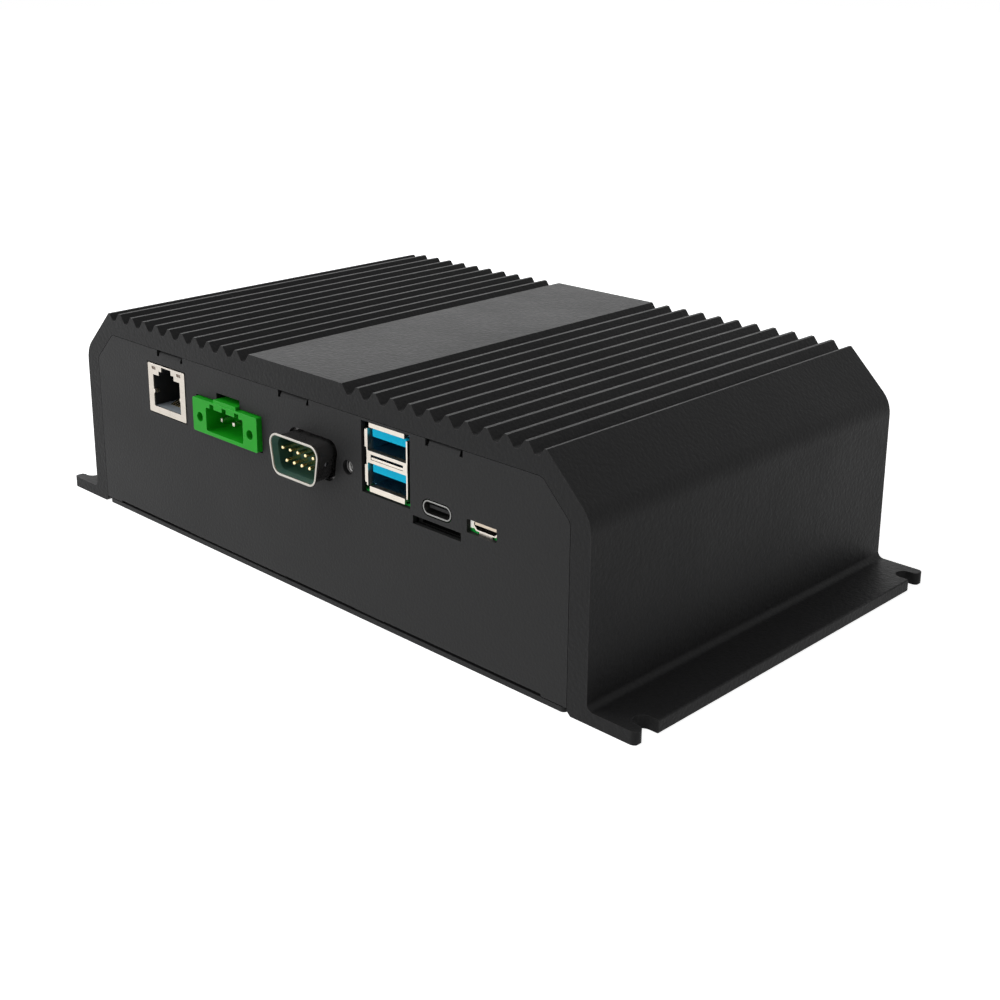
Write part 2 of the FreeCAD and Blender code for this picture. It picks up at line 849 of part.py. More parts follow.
def processor():
    lid_under = pad_under - processor_lid_height
    base = centred_box(0, module_middle, processor_size, processor_size, module_top, lid_under)
    half = processor_lid_size / 2
    lid = prism_z(rectangle(-half, half, module_middle - half, module_middle + half, processor_lid_corner),
                  lid_under, pad_under)
    return [base.fuse(lid)]


def module_chips():
    x = module_chip_offset
    memory = centred_box(-x, module_middle, memory_width, memory_length, module_top,
                         module_top + memory_height)
    half = radio_can_size / 2
    radio = prism_z(rectangle(x - half, x + half, module_middle - half, module_middle + half,
                              radio_can_corner), module_top, module_top + radio_can_height)
    return [memory, radio]


def thermal_pad():
    size = processor_lid_size
    return [centred_box(0, module_middle, size, size, pad_under, block_under)]


def heat_block():
    corners = rectangle(-block_width / 2, block_width / 2, module_middle - block_depth / 2,
                        module_middle + block_depth / 2, block_corner)
    block = prism_z(corners, block_under, ceiling)
    seats = [flat_seat(x, y, block_under, large_thread, large_head, ceiling - block_under)
             for x, y in block_screw_places()]
    return [block.cut(seats)]


def heat_block_screws():
    length = ceiling - block_under + block_screw_grip
    return [flat_screw(x, y, block_under, large_thread, large_head, length)
            for x, y in block_screw_places()]


# Ethernet jack

def ethernet_opening(y_start, y_end):
    """The stepped opening that a plug and its latch go into."""
    floor = board_top + ethernet_port_floor
    shoulder = floor + ethernet_port_height
    step = shoulder + ethernet_step_height
    top = step + ethernet_latch_height
    half_port = ethernet_port_width / 2
    half_step = ethernet_step_width / 2
    half_latch = ethernet_latch_width / 2
    right = [(half_port, floor), (half_port, shoulder), (half_step, shoulder), (half_step, step),
             (half_latch, step), (half_latch, top)]
    corners = [(ethernet_x + x, z) for x, z in right]
    corners += [(ethernet_x - x, z) for x, z in reversed(right)]
    return prism_y(corners, y_start, y_end)


def ethernet_light_blocks(y_start, y_end):
    z = board_top + ethernet_height - light_drop
    blocks = []
    for side in (-1, 1):
        x = ethernet_x + side * light_offset
        blocks.append(box(x - light_width / 2, x + light_width / 2, y_start, y_end,
                          z - light_height / 2, z + light_height / 2))
    return blocks


def ethernet_front():
    return front - ethernet_proud


def ethernet_shield():
    y = ethernet_front()
    half = ethernet_width / 2
    shield = prism_y(rectangle(ethernet_x - half, ethernet_x + half, board_top,
                               board_top + ethernet_height, ethernet_corner), y, y + ethernet_depth)
    inner = half - ethernet_sheet
    hollow = box(ethernet_x - inner, ethernet_x + inner, y + ethernet_sheet, y + ethernet_depth + overshoot,
                 board_top - overshoot, board_top + ethernet_height - ethernet_sheet)
    y_range = (y - overshoot, y + overshoot)
    return [shield.cut([hollow, ethernet_opening(*y_range)] + ethernet_light_blocks(*y_range))]


def ethernet_insert():
    y = ethernet_front()
    half = ethernet_width / 2 - ethernet_sheet
    block = box(ethernet_x - half, ethernet_x + half, y + ethernet_sheet, y + ethernet_depth,
                board_top, board_top + ethernet_height - ethernet_sheet)
    tools = [ethernet_opening(y, y + ethernet_port_depth)]
    tools += ethernet_light_blocks(y, y + light_depth)
    return [block.cut(tools).cut(ethernet_contacts())]


def ethernet_contacts():
    """Eight sprung wires that rise from the floor of the opening towards the back."""
    y = ethernet_front() + contact_setback
    z = board_top + ethernet_port_floor - contact_thickness / 2
    side = [(y, z), (y + contact_run, z + contact_rise),
            (y + contact_run, z + contact_rise + contact_thickness), (y, z + contact_thickness)]
    first = ethernet_x - (contact_count - 1) / 2 * contact_pitch - contact_width / 2
    starts = [first + step * contact_pitch for step in range(contact_count)]
    return [prism_x(side, x, x + contact_width) for x in starts]


def ethernet_lights():
    y = ethernet_front()
    return ethernet_light_blocks(y + ethernet_sheet / 2, y + light_depth)


# Power header

def header_front():
    return front - header_proud


def header_cavity():
    y = header_front()
    floor = board_top + header_cavity_floor
    half = header_cavity_width / 2
    y_range = (y - overshoot, y + header_cavity_depth)
    cavity = prism_y(rectangle(header_x - half, header_x + half, floor, floor + header_cavity_height,
                               header_cavity_corner), *y_range)
    for x in header_pin_places():
        key = box(x - header_key_width / 2, x + header_key_width / 2, *y_range,
                  floor + header_cavity_height / 2, floor + header_cavity_height + header_key_height)
        cavity = cavity.fuse(key)
    return cavity


def header_screw_places():
    return [(header_x + side * header_screw_offset, board_top + header_screw_height) for side in (-1, 1)]


def terminal_header():
    y = header_front()
    half = header_width / 2
    top = board_top + header_height
    body = prism_y(rectangle(header_x - half, header_x + half, board_top, top, header_corner),
                   y, y + header_depth)
    half = header_boss_width / 2
    root = board_top + header_cavity_floor + header_cavity_height
    boss = prism_y(rectangle(header_x - half, header_x + half, root, top + header_boss_height,
                             header_boss_corner), y + header_boss_setback, y + header_boss_depth)
    tools = [header_cavity()]
    for x, z in header_screw_places():
        tools.append(level(x, z, small_thread, y - overshoot, y + header_depth - header_bore_end))
        tools.append(level(x, z, header_nut_radius, y + header_nut_setback,
                           y + header_nut_setback + header_nut_length))
    return [body.fuse(boss).removeSplitter().cut(tools).cut(terminal_pins())]


def terminal_pins():
    y = header_front()
    z = board_top + header_pin_height
    half = header_pin / 2
    pins = []
    for x in header_pin_places():
        turn = y + header_pin_turn
        start = y + header_pin_setback
        corners = [(start, z - half), (turn - half, z - half), (turn - half, tail_end),
                   (turn + half, tail_end), (turn + half, z + half, half), (start, z + half)]
        pins.append(prism_x(corners, x - half, x + half))
    return pins


def terminal_nuts():
    y = header_front() + header_nut_setback
    return [level(x, z, header_nut_radius, y, y + header_nut_length).cut(
        level(x, z, small_thread, y - overshoot, y + header_nut_length + overshoot))
            for x, z in header_screw_places()]


# Serial port

def serial_rim():
    return front - serial_proud


def serial_skin(inset, y_start, y_end):
    """The outside of the shell, or its inside where inset is the sheet: lip, flare and body."""
    lip_end = serial_rim() + serial_lip
    body_start = lip_end + serial_flare
    lip = prism_y(serial_rim_corners(inset), y_start, lip_end)
    rings = [outline(serial_rim_corners(inset), lambda u, v: Vector(u, lip_end, v)),
             outline(serial_corners(inset), lambda u, v: Vector(u, body_start, v))]
    flare = Part.makeLoft(rings, True, True)
    body = prism_y(serial_corners(inset), body_start, y_end)
    return lip.fuse([flare, body])


def serial_shell():
    z = serial_middle()
    y_end = panel_back + serial_flange_thickness
    shell = serial_skin(0, serial_rim(), y_end)
    half_width = serial_flange_width / 2
    half_height = serial_flange_height / 2
    flange = prism_y(rectangle(serial_x - half_width, serial_x + half_width, z - half_height,
                               z + half_height, serial_flange_corner), panel_back, y_end)
    shell = shell.fuse(flange).removeSplitter()
    inner = serial_skin(serial_sheet, serial_rim() - overshoot, y_end + overshoot)
    holes = [level(serial_x + side * serial_screw_offset, z, serial_insert_radius,
                   panel_back - overshoot, y_end + overshoot) for side in (-1, 1)]
    return [shell.cut([inner] + holes)]


def serial_face():
    """The face of the insulator, where the pins come out."""
    return serial_rim() + serial_floor_drop


def serial_insulator():
    y_flange = panel_back + serial_flange_thickness
    plug = prism_y(serial_corners(serial_sheet), serial_face(), y_flange)
    half = serial_rim_width / 2
    block = box(serial_x - half, serial_x + half, y_flange, y_flange + serial_block_depth,
                board_top, serial_middle() + serial_rim_height / 2)
    return [plug.fuse(block).removeSplitter().cut(serial_pins())]


def serial_pins():
    """Round pins that rest on the insulator's face, on square wires that turn down into the board."""
    tip = serial_rim() + serial_pin_setback
    rear = panel_back + serial_flange_thickness + serial_block_depth
    half = serial_tail / 2
    radius = serial_pin_radius
    nose = [(0, tip), (radius - serial_pin_nose, tip), (radius, tip + serial_pin_nose)]
    pins = []
    for x, z, row in serial_pin_places():
        pin = turned_y(nose + [(radius, serial_face()), (0, serial_face())], x, z)
        bend = rear - serial_bend_inset + row * serial_bend_pitch / 2
        wire = [(tip + serial_pin_nose, z - half), (bend - half, z - half), (bend - half, tail_end),
                (bend + half, tail_end), (bend + half, z + half, half), (tip + serial_pin_nose, z + half)]
        pins.append(pin.fuse(prism_x(wire, x - half, x + half)).removeSplitter())
    return pins


def serial_jackscrews():
    """Threaded inserts behind the two holes beside the shell, each with a collar."""
    z = serial_middle()
    y_face = panel_back + serial_insert_recess
    y_flange = panel_back + serial_flange_thickness
    y_end = y_flange + serial_collar_length
    profile = [(0, y_face), (serial_insert_radius, y_face), (serial_insert_radius, y_flange),
               (serial_collar_radius, y_flange), (serial_collar_radius, y_end), (0, y_end)]
    screws = []
    for side in (-1, 1):
        x = serial_x + side * serial_screw_offset
        bore = level(x, z, serial_insert_bore, y_face - overshoot, y_end - serial_collar_floor)
        screws.append(turned_y(profile, x, z).cut(bore))
    return screws


# Stacked USB ports

def usb_ports():
    """(floor, ceiling) of the lower and the upper opening."""
    return [(board_top + start, board_top + start + usb_port_height)
            for start in (usb_lower_port, usb_upper_port)]


def usb_shield():
    y = front + usb_recess
    y_end = y + usb_depth
    can_half = usb_width / 2 - usb_lip
    top = board_top + usb_height - usb_lip
    bottom = board_top + usb_lip
    can = prism_y(rectangle(usb_x - can_half, usb_x + can_half, bottom, top, usb_corner), y, y_end)
    foot_end = y_end - usb_foot_setback
    foot_x = can_half - usb_foot_side - usb_foot_width / 2
    feet = [centred_box(usb_x + side * foot_x, foot_end - usb_foot_length / 2, usb_foot_width,
                        usb_foot_length, board_top, usb_ports()[0][0]) for side in (-1, 1)]
    half = usb_width / 2
    inset = usb_lip_notch / 2
    lips = [prism_y(rectangle(usb_x - half, usb_x + half, floor + inset, roof - inset, usb_lip_corner),
                    y, y + usb_lip_depth) for floor, roof in usb_ports()]
    half = can_half - inset
    lips.append(box(usb_x - half, usb_x + half, y, y + usb_lip_depth, board_top + usb_board_gap,
                    board_top + usb_height))
    shield = can.fuse(lips + feet).removeSplitter()
    y_range = (y - overshoot, y_end - usb_sheet)
    half = usb_port_width / 2
    tools = [prism_y(rectangle(usb_x - half, usb_x + half, floor, roof, usb_port_corner), *y_range)
             for floor, roof in usb_ports()]
    bridge = (usb_ports()[0][1] + usb_ports()[1][0]) / 2
    tools.append(prism_y(rectangle(usb_x - usb_bridge_slot_width / 2, usb_x + usb_bridge_slot_width / 2,
                                   bridge - usb_bridge_slot / 2, bridge + usb_bridge_slot / 2), *y_range))
    return [shield.cut(tools)]


def usb_tongue_under(roof):
    return roof - usb_tongue_gap - usb_tongue_height


def usb_inserts():
    """Two mouldings, one for each port: a tongue on a block that fills the back of the can."""
    y = front + usb_recess
    y_block = y + usb_port_depth
    y_end = y + usb_depth - usb_sheet
    inserts = []
    for floor, roof in usb_ports():
        half = usb_port_width / 2
        block = prism_y(rectangle(usb_x - half, usb_x + half, floor, roof, usb_port_corner), y_block, y_end)
        half = usb_tongue_width / 2
        under = usb_tongue_under(roof)
        tongue = prism_y(rectangle(usb_x - half, usb_x + half, under, under + usb_tongue_height,
                                   usb_tongue_corner), y + usb_tongue_setback, y_end)
        inserts.append(block.fuse(tongue).removeSplitter())
    return inserts


def usb_contacts():
    """Flat springs under each tongue."""
    y = front + usb_recess + usb_tongue_setback + usb_contact_setback
    first = usb_x - (usb_contact_count - 1) / 2 * usb_contact_pitch
    strips = []
    for floor, roof in usb_ports():
        under = usb_tongue_under(roof)
        for step in range(usb_contact_count):
            x = first + step * usb_contact_pitch
            strips.append(box(x - usb_contact_width / 2, x + usb_contact_width / 2, y,
                              y + usb_contact_length, under - usb_contact_thickness, under))
    return strips


# Oval USB port

def oval_corners(inset):
    half_width = oval_width / 2 - inset
    half_height = oval_height / 2 - inset
    z = board_top + oval_height / 2
    return rectangle(oval_x - half_width, oval_x + half_width, z - half_height, z + half_height, half_height)


def oval_shell():
    y = front + oval_recess
    shell = prism_y(oval_corners(0), y, y + oval_depth)
    return [shell.cut(prism_y(oval_corners(oval_sheet), y - overshoot, y + oval_depth + overshoot))]


def oval_tongue():
    y = front + oval_recess
    block = prism_y(oval_corners(oval_sheet), y + oval_port_depth, y + oval_depth)
    z = board_top + oval_height / 2
    half_width = oval_tongue_width / 2
    half_height = oval_tongue_height / 2
    tongue = prism_y(rectangle(oval_x - half_width, oval_x + half_width, z - half_height,
                               z + half_height, half_height / 2),
                     y + oval_tongue_setback, y + oval_depth)
    return [block.fuse(tongue).removeSplitter()]


# Memory card socket

def card_socket():
    y = board_front
    half = card_socket_width / 2
    case = prism_y(rectangle(card_x - half, card_x + half, board_under - card_socket_height,
                             board_under, card_socket_corner), y, y + card_socket_depth)
    half = card_mouth_width / 2
    z = board_under - card_mouth_drop
    mouth = box(card_x - half, card_x + half, y - overshoot, y + card_mouth_depth,
                z - card_mouth_height / 2, z + card_mouth_height / 2)
    return [case.cut(mouth)]


# Service port and status light

def service_corners(inset):
    half = service_width / 2 - inset
    low = board_top + inset
    high = board_top + service_height - inset
    slope = service_slope
    right = [(half, high), (half, low + slope), (half - slope, low)]
    left = [(-x, z) for x, z in reversed(right)]
    return [(service_x + x, z, service_corner) for x, z in right + left]


def service_front():
    return panel_back - service_reach


def service_shell():
    y = service_front()
    shell = prism_y(service_corners(0), y, y + service_depth)
    half = service_width / 2 - service_lip_inset
    upper = box(service_x - half, service_x + half, y, y + service_lip_depth,
                board_top + service_height - service_sheet, board_top + service_height + service_lip)
    half = half - service_slope
    lower = box(service_x - half, service_x + half, y, y + service_lip_depth,
                board_top - service_lip_drop, board_top + service_sheet)
    shell = shell.fuse([upper, lower]).removeSplitter()
    hollow = prism_y(service_corners(service_sheet), y - overshoot, y + service_depth + overshoot)
    return [shell.cut(hollow)]


def service_tongue():
    y = service_front()
    block = prism_y(service_corners(service_sheet), y + service_port_depth, y + service_depth)
    half = service_tongue_width / 2
    z = board_top + service_tongue_lift
    tongue = box(service_x - half, service_x + half, y + service_tongue_setback, y + service_depth,
                 z - service_tongue_height / 2, z + service_tongue_height / 2)
    return [block.fuse(tongue).removeSplitter()]


def status_light():
    half = status_width / 2
    y = board_front + status_setback
    return [prism_y(rectangle(status_x - half, status_x + half, board_top, board_top + status_height,
                              status_corner), y, y + status_depth)]


# Parts on the board

def cell_place():
    x = module_width / 2 + cell_gap + cell_holder_wall + cell_radius
    return -x, board_back - cell_rear_inset


def coin_cell():
    low = board_top + cell_holder_floor
    high = low + cell_height
    profile = [(0, low), (cell_radius, low), (cell_radius, high - cell_edge),
               (cell_radius - cell_edge, high), (0, high)]
    return [turned_z(profile, *cell_place())]


def coin_cell_holder():
    x, y = cell_place()
    half = cell_radius + cell_holder_wall
    floor = board_top + cell_holder_floor
    holder = prism_z(rectangle(x - half, x + half, y - half, y + half, cell_holder_corner), board_top,
                     floor + cell_height - cell_stand)
    return [holder.cut(upright(x, y, cell_radius, floor, ceiling))]


def inductor_x():
    return -(module_width / 2 + inductor_gap + inductor_size / 2)


def power_inductor():
    half = inductor_size / 2
    x = inductor_x()
    y = board_front + standoff_front_inset + half
    return [prism_z(rectangle(x - half, x + half, y - half, y + half, inductor_corner), board_top,
                    board_top + inductor_height)]


def capacitors():
    """A row of cans with a bevel round the top."""
    x = inductor_x() - inductor_size / 2 - capacitor_gap - capacitor_radius
    standoff_back = board_front + standoff_front_inset + standoff_flats / math.sqrt(3)
    start = standoff_back + capacitor_room + capacitor_radius
    top = board_top + capacitor_height
    profile = [(0, board_top), (capacitor_radius, board_top), (capacitor_radius, top - capacitor_edge),
               (capacitor_radius - capacitor_edge, top), (0, top)]
    return [turned_z(profile, x, start + step * capacitor_pitch) for step in range(capacitor_count)]


def board_chips():
    """Flat chips: two for the ports, then hub, power and storage in a column, and the clock."""
    row = board_front + standoff_front_inset
    column = module_width / 2 + chip_column_gap
    places = [(header_x, row, port_chip_width, port_chip_length),
              (serial_x, row, port_chip_width, port_chip_length),
              (column, row, hub_chip_size, hub_chip_size),
              (column, row + chip_pitch, power_chip_width, power_chip_length),
              (column, row + 2 * chip_pitch, storage_chip_size, storage_chip_size),
              (column + clock_chip_shift, row + chip_pitch / 2, clock_chip_size, clock_chip_size)]
    return [centred_box(x, y, width, length, board_top, board_top + chip_height)
            for x, y, width, length in places]


# Write one file for each sub-part

def write_parts():
    makers = [heatsink_cover, front_panel, rear_panel, bottom_cover, bottom_cover_screws, panel_tab_screws,
              main_board, board_standoffs, board_screws, compute_module, module_spacers, module_screws,
              module_connectors, processor, module_chips, thermal_pad, heat_block, heat_block_screws,
              ethernet_shield, ethernet_insert, ethernet_contacts, ethernet_lights,
              terminal_header, terminal_pins, terminal_nuts,
              serial_shell, serial_insulator, serial_pins, serial_jackscrews,
              usb_shield, usb_inserts, usb_contacts, oval_shell, oval_tongue, card_socket,
              service_shell, service_tongue, status_light,
              coin_cell, coin_cell_holder, power_inductor, capacitors, board_chips]
    os.makedirs("parts", exist_ok=True)
    for maker in makers:
        solids = [solid for shape in maker() for solid in shape.Solids]
        shape = solids[0] if len(solids) == 1 else Part.makeCompound(solids)
        shape.exportStep("parts/" + maker.__name__ + ".step")
        print(maker.__name__, len(solids), round(shape.Volume, 1), shape.isValid())


write_parts()
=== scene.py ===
# %% [markdown]
# This scene dresses a fanless industrial computer: one extruded aluminium cover with cooling
# fins over a circuit board, closed by sheet metal panels. The construction comes as a fixed
# frame, so the first step loads it.

# %% Load the frame
import json
import math

import bmesh
import bpy
from mathutils import Matrix, Vector


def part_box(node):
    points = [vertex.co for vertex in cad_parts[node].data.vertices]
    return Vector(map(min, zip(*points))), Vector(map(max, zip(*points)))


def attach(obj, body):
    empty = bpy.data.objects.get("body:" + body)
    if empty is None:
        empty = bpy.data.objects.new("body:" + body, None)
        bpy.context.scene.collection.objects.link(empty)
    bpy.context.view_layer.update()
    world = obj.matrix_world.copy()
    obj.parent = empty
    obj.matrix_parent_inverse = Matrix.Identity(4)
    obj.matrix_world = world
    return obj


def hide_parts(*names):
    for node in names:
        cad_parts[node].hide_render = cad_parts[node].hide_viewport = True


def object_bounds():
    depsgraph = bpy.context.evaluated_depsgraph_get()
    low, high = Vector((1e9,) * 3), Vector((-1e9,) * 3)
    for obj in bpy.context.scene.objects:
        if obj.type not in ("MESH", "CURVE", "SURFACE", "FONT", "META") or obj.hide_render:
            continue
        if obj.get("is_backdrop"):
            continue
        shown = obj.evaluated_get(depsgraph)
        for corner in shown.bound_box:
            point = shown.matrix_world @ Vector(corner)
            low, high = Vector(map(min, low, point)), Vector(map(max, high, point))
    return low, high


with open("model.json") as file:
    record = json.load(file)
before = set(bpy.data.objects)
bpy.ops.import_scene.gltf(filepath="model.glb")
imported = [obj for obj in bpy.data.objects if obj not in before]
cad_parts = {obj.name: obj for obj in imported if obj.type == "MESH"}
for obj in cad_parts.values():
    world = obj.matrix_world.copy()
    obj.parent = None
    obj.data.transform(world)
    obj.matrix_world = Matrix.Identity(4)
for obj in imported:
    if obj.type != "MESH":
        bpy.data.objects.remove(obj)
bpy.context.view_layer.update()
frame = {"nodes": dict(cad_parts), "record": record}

nodes = frame["nodes"]
print("nodes in the frame:", len(nodes))

# %% [markdown]
# Blender works in metres, and this product is a couple of hundred millimetres long. Sizes are
# easier to read and check in millimetres, so each one below is a plain number of millimetres
# and a single constant turns it into metres where geometry is made.

# %% Unit
MM = 0.001

# %% [markdown]
# The camera stands to the right of the connector side and a little above the case. A long
# lens keeps the upright edges nearly parallel. The picture is framed with a small lens shift,
# because turning the camera instead would make those edges lean.

# %% Camera


def show(name, data):
    """A new object with that data, linked to the scene."""
    shown = bpy.data.objects.new(name, data)
    bpy.context.scene.collection.objects.link(shown)
    return shown


def make_camera():
    camera = show("camera", bpy.data.cameras.new("camera"))
    camera.location = (0.26325, -0.26174, 0.15000)
    camera.rotation_euler = (math.radians(73.61), 0.0, math.radians(45.318))
    camera.data.lens = 53.92
    camera.data.sensor_width = 36.0
    camera.data.shift_x = 0.0398
    camera.data.shift_y = -0.1175
    camera.data.clip_start = 0.01
    bpy.context.scene.camera = camera
    bpy.context.scene.view_settings.view_transform = "Standard"
    return camera


print("camera stands", round(make_camera().location.length, 3), "m from the middle of the case")

# %% [markdown]
# Shaders and geometry are both built as node trees. A few small helpers keep them short: one
# feeds a socket with either a number or another socket, one adds a node with its settings and
# inputs, and the others do a sum, put a vector together or take it apart.

# %% Node helpers


def feed(tree, target, source):
    """Joins a socket to target, or sets target to a plain value."""
    if isinstance(source, bpy.types.NodeSocket):
        tree.links.new(source, target)
    else:
        target.default_value = source


def add_node(tree, kind, inputs=None, **settings):
    """A node with its settings and its inputs {label or number: value or socket}."""
    made = tree.nodes.new(kind)
    for key, value in settings.items():
        setattr(made, key, value)
    for label, source in (inputs or {}).items():
        feed(tree, made.inputs[label], source)
    return made


def calc(tree, operation, *terms):
    return add_node(tree, "ShaderNodeMath", dict(enumerate(terms)), operation=operation).outputs[0]


def vector(tree, **axes):
    """A vector from its X, Y and Z, each a number or a socket."""
    return add_node(tree, "ShaderNodeCombineXYZ", axes).outputs[0]


def axes_of(tree, place):
    """The X, Y and Z of a vector, as the outputs of one node."""
    return add_node(tree, "ShaderNodeSeparateXYZ", {0: place}).outputs


# %% [markdown]
# The product stands on a plain white floor under a white sky, as in a catalogue picture. The
# sky looks white to the camera and in reflections. It gives only part of that light to matt
# surfaces, so the dark body keeps its shading and the lamps decide which side is lighter.

# %% Sky
SKY_LIGHT = 0.17
WHITE = (1.0, 1.0, 1.0, 1.0)


def white_where_seen(tree):
    """1 for the rays that show a background: camera, glossy and transmission rays."""
    path = add_node(tree, "ShaderNodeLightPath").outputs
    seen = calc(tree, "MAXIMUM", path["Is Camera Ray"], path["Is Glossy Ray"])
    return calc(tree, "MAXIMUM", seen, path["Is Transmission Ray"])


def make_sky():
    world = bpy.data.worlds.new("sky")
    world.use_nodes = True
    tree = world.node_tree
    tree.nodes.clear()
    dim = add_node(tree, "ShaderNodeBackground", {"Color": WHITE, "Strength": SKY_LIGHT})
    white = add_node(tree, "ShaderNodeBackground", {"Color": WHITE, "Strength": 1.0})
    mix = add_node(tree, "ShaderNodeMixShader",
                   {0: white_where_seen(tree), 1: dim.outputs[0], 2: white.outputs[0]})
    add_node(tree, "ShaderNodeOutputWorld", {"Surface": mix.outputs[0]})
    bpy.context.scene.world = world
    return world


print("sky:", make_sky().name)

# %% [markdown]
# The floor is a large pale sheet. Its own glow, seen only where a background shows, lifts it
# to white, and the shadow of the case still darkens it a little, which keeps the case standing
# on something. The sheet lies a hair under the case, so the two never share a plane, and it is
# clear from below, where a look at the bottom plate would otherwise be blocked.

# %% Floor
FLOOR_SIZE = 6.0
FLOOR_GLOW = 0.9
FLOOR_TINT = (0.8, 0.8, 0.8, 1.0)
FLOOR_DROP = 0.05


def floor_finish():
    material = bpy.data.materials.new("floor")
    material.use_nodes = True
    tree = material.node_tree
    tree.nodes.clear()
    matt = add_node(tree, "ShaderNodeBsdfDiffuse", {"Color": FLOOR_TINT})
    glow = add_node(tree, "ShaderNodeEmission",
                    {"Strength": calc(tree, "MULTIPLY", white_where_seen(tree), FLOOR_GLOW)})
    both = add_node(tree, "ShaderNodeAddShader", {0: matt.outputs[0], 1: glow.outputs[0]})
    clear = add_node(tree, "ShaderNodeBsdfTransparent")
    below = add_node(tree, "ShaderNodeNewGeometry").outputs["Backfacing"]
    side = add_node(tree, "ShaderNodeMixShader", {0: below, 1: both.outputs[0], 2: clear.outputs[0]})
    add_node(tree, "ShaderNodeOutputMaterial", {"Surface": side.outputs[0]})
    return material


def make_floor():
    mesh = bpy.data.meshes.new("floor")
    half, low = FLOOR_SIZE / 2, -FLOOR_DROP * MM
    corners = [(-half, -half, low), (half, -half, low), (half, half, low), (-half, half, low)]
    mesh.from_pydata(corners, [], [(0, 1, 2, 3)])
    mesh.materials.append(floor_finish())
    floor = show("floor", mesh)
    floor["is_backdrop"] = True
    return floor


print("floor:", make_floor().dimensions[:])

# %% [markdown]
# Three soft lamps shape the case. One hangs to the upper left, so the connector side is lighter
# than the end towards the camera. A weak one in front fills the ports. The last one stands
# low behind the case, where the satin roof mirrors it, and makes the roof the brightest face.

# %% Lamps
MIDDLE = (0.0, 0.0, 0.03)


def make_lamp(name, place, size, power):
    """A square lamp that points at the middle of the case, with its size in metres."""
    data = bpy.data.lights.new(name, "AREA")
    data.shape = "SQUARE"
    data.size = size
    data.energy = power
    lamp = show(name, data)
    lamp.location = place
    lamp.rotation_euler = (Vector(MIDDLE) - Vector(place)).to_track_quat("-Z", "Y").to_euler()
    return lamp


for lamp in (make_lamp("upper_left_lamp", (-0.75, -0.35, 1.0), 0.8, 6.8),
             make_lamp("front_lamp", (-0.25, -1.1, 0.45), 0.9, 4.9),
             make_lamp("back_lamp", (-0.95, 0.95, 0.55), 1.0, 4.0)):
    print(lamp.name, lamp.data.energy, "W")

# %% [markdown]
# A single flat colour never looks like a real surface. Three effects turn up on most of the
# materials here, so each is built once as a shader node group: a fine grain with broad
# patches, lines left by rolling or brushing, and a mask along edges. On most finishes the edge
# mask lays on wear, and on the green header it lays on a painted highlight. A group gives
# out only masks, and every material decides what to do with them.

# %% Shader groups
LINE_LENGTH = 9.0
EDGE_REACH = 0.3
EDGE_SPOT = 2.0


def shader_group(name, inputs, outputs):
    """A new group with these labels for its number inputs and outputs."""
    tree = bpy.data.node_groups.new(name, "ShaderNodeTree")
    for way, labels in (("INPUT", inputs), ("OUTPUT", outputs)):
        for label in labels:
            tree.interface.new_socket(label, in_out=way, socket_type="NodeSocketFloat")
    return tree, add_node(tree, "NodeGroupInput").outputs


def object_place(tree):
    return add_node(tree, "ShaderNodeTexCoord").outputs["Object"]


def noise(tree, place, size, detail=2.0):
    """Noise whose features are about size metres wide."""
    scale = calc(tree, "DIVIDE", 1.0, size)
    inputs = {"Detail": detail, "Vector": place, "Scale": scale}
    return add_node(tree, "ShaderNodeTexNoise", inputs).outputs["Fac"]


def ramp(tree, value, low, high, start=0.0, end=1.0, **settings):
    """Goes from start to end while a value goes from low to high."""
    inputs = {"Value": value, "From Min": low, "From Max": high, "To Min": start, "To Max": end}
    return add_node(tree, "ShaderNodeMapRange", inputs, **settings).outputs["Result"]


def grain_group():
    tree, given = shader_group("grain", ["Grain Size", "Patch Size"], ["Grain", "Patches"])
    place = object_place(tree)
    add_node(tree, "NodeGroupOutput", {"Grain": noise(tree, place, given["Grain Size"]),
                                       "Patches": noise(tree, place, given["Patch Size"], 3.0)})
    return tree


def lines_group():
    """Fine lines that run along X, with a shorter size across them."""
    tree, given = shader_group("rolled_lines", ["Line Width"], ["Lines"])
    place = axes_of(tree, object_place(tree))
    squeeze = calc(tree, "DIVIDE", given["Line Width"], LINE_LENGTH * MM)
    stretched = vector(tree, X=calc(tree, "MULTIPLY", place["X"], squeeze), Y=place["Y"], Z=place["Z"])
    add_node(tree, "NodeGroupOutput", {"Lines": noise(tree, stretched, given["Line Width"])})
    return tree


def edge_mask_group():
    """1 along the edges, broken up by noise. A rounded normal leaves the true one only there."""
    tree, given = shader_group("edge_wear", ["Amount"], ["Wear"])
    rounded = add_node(tree, "ShaderNodeBevel", {"Radius": EDGE_REACH * MM}).outputs["Normal"]
    true = add_node(tree, "ShaderNodeNewGeometry").outputs["Normal"]
    same = add_node(tree, "ShaderNodeVectorMath", {0: rounded, 1: true}, operation="DOT_PRODUCT")
    edge = ramp(tree, same.outputs["Value"], 0.995, 0.88)
    broken = calc(tree, "MULTIPLY", edge, noise(tree, object_place(tree), EDGE_SPOT * MM, 3.0))
    add_node(tree, "NodeGroupOutput", {"Wear": calc(tree, "MULTIPLY", broken, given["Amount"])})
    return tree


GRAIN = grain_group()
LINES = lines_group()
EDGE_MASK = edge_mask_group()
print("shader groups:", GRAIN.name, LINES.name, EDGE_MASK.name)

# %% [markdown]
# One function places those groups in a new material. Each finish below gives its own two
# tints, roughness, grain and edge colour, and the shader itself stays in the material. What is
# the same all over a surface, such as how metallic it is, is set straight on the shader.

# %% Material builder
FINISHES = {}


def place_group(tree, group, **values):
    labels = {label.replace("_", " ").title(): value for label, value in values.items()}
    return add_node(tree, "ShaderNodeGroup", labels, node_tree=group).outputs


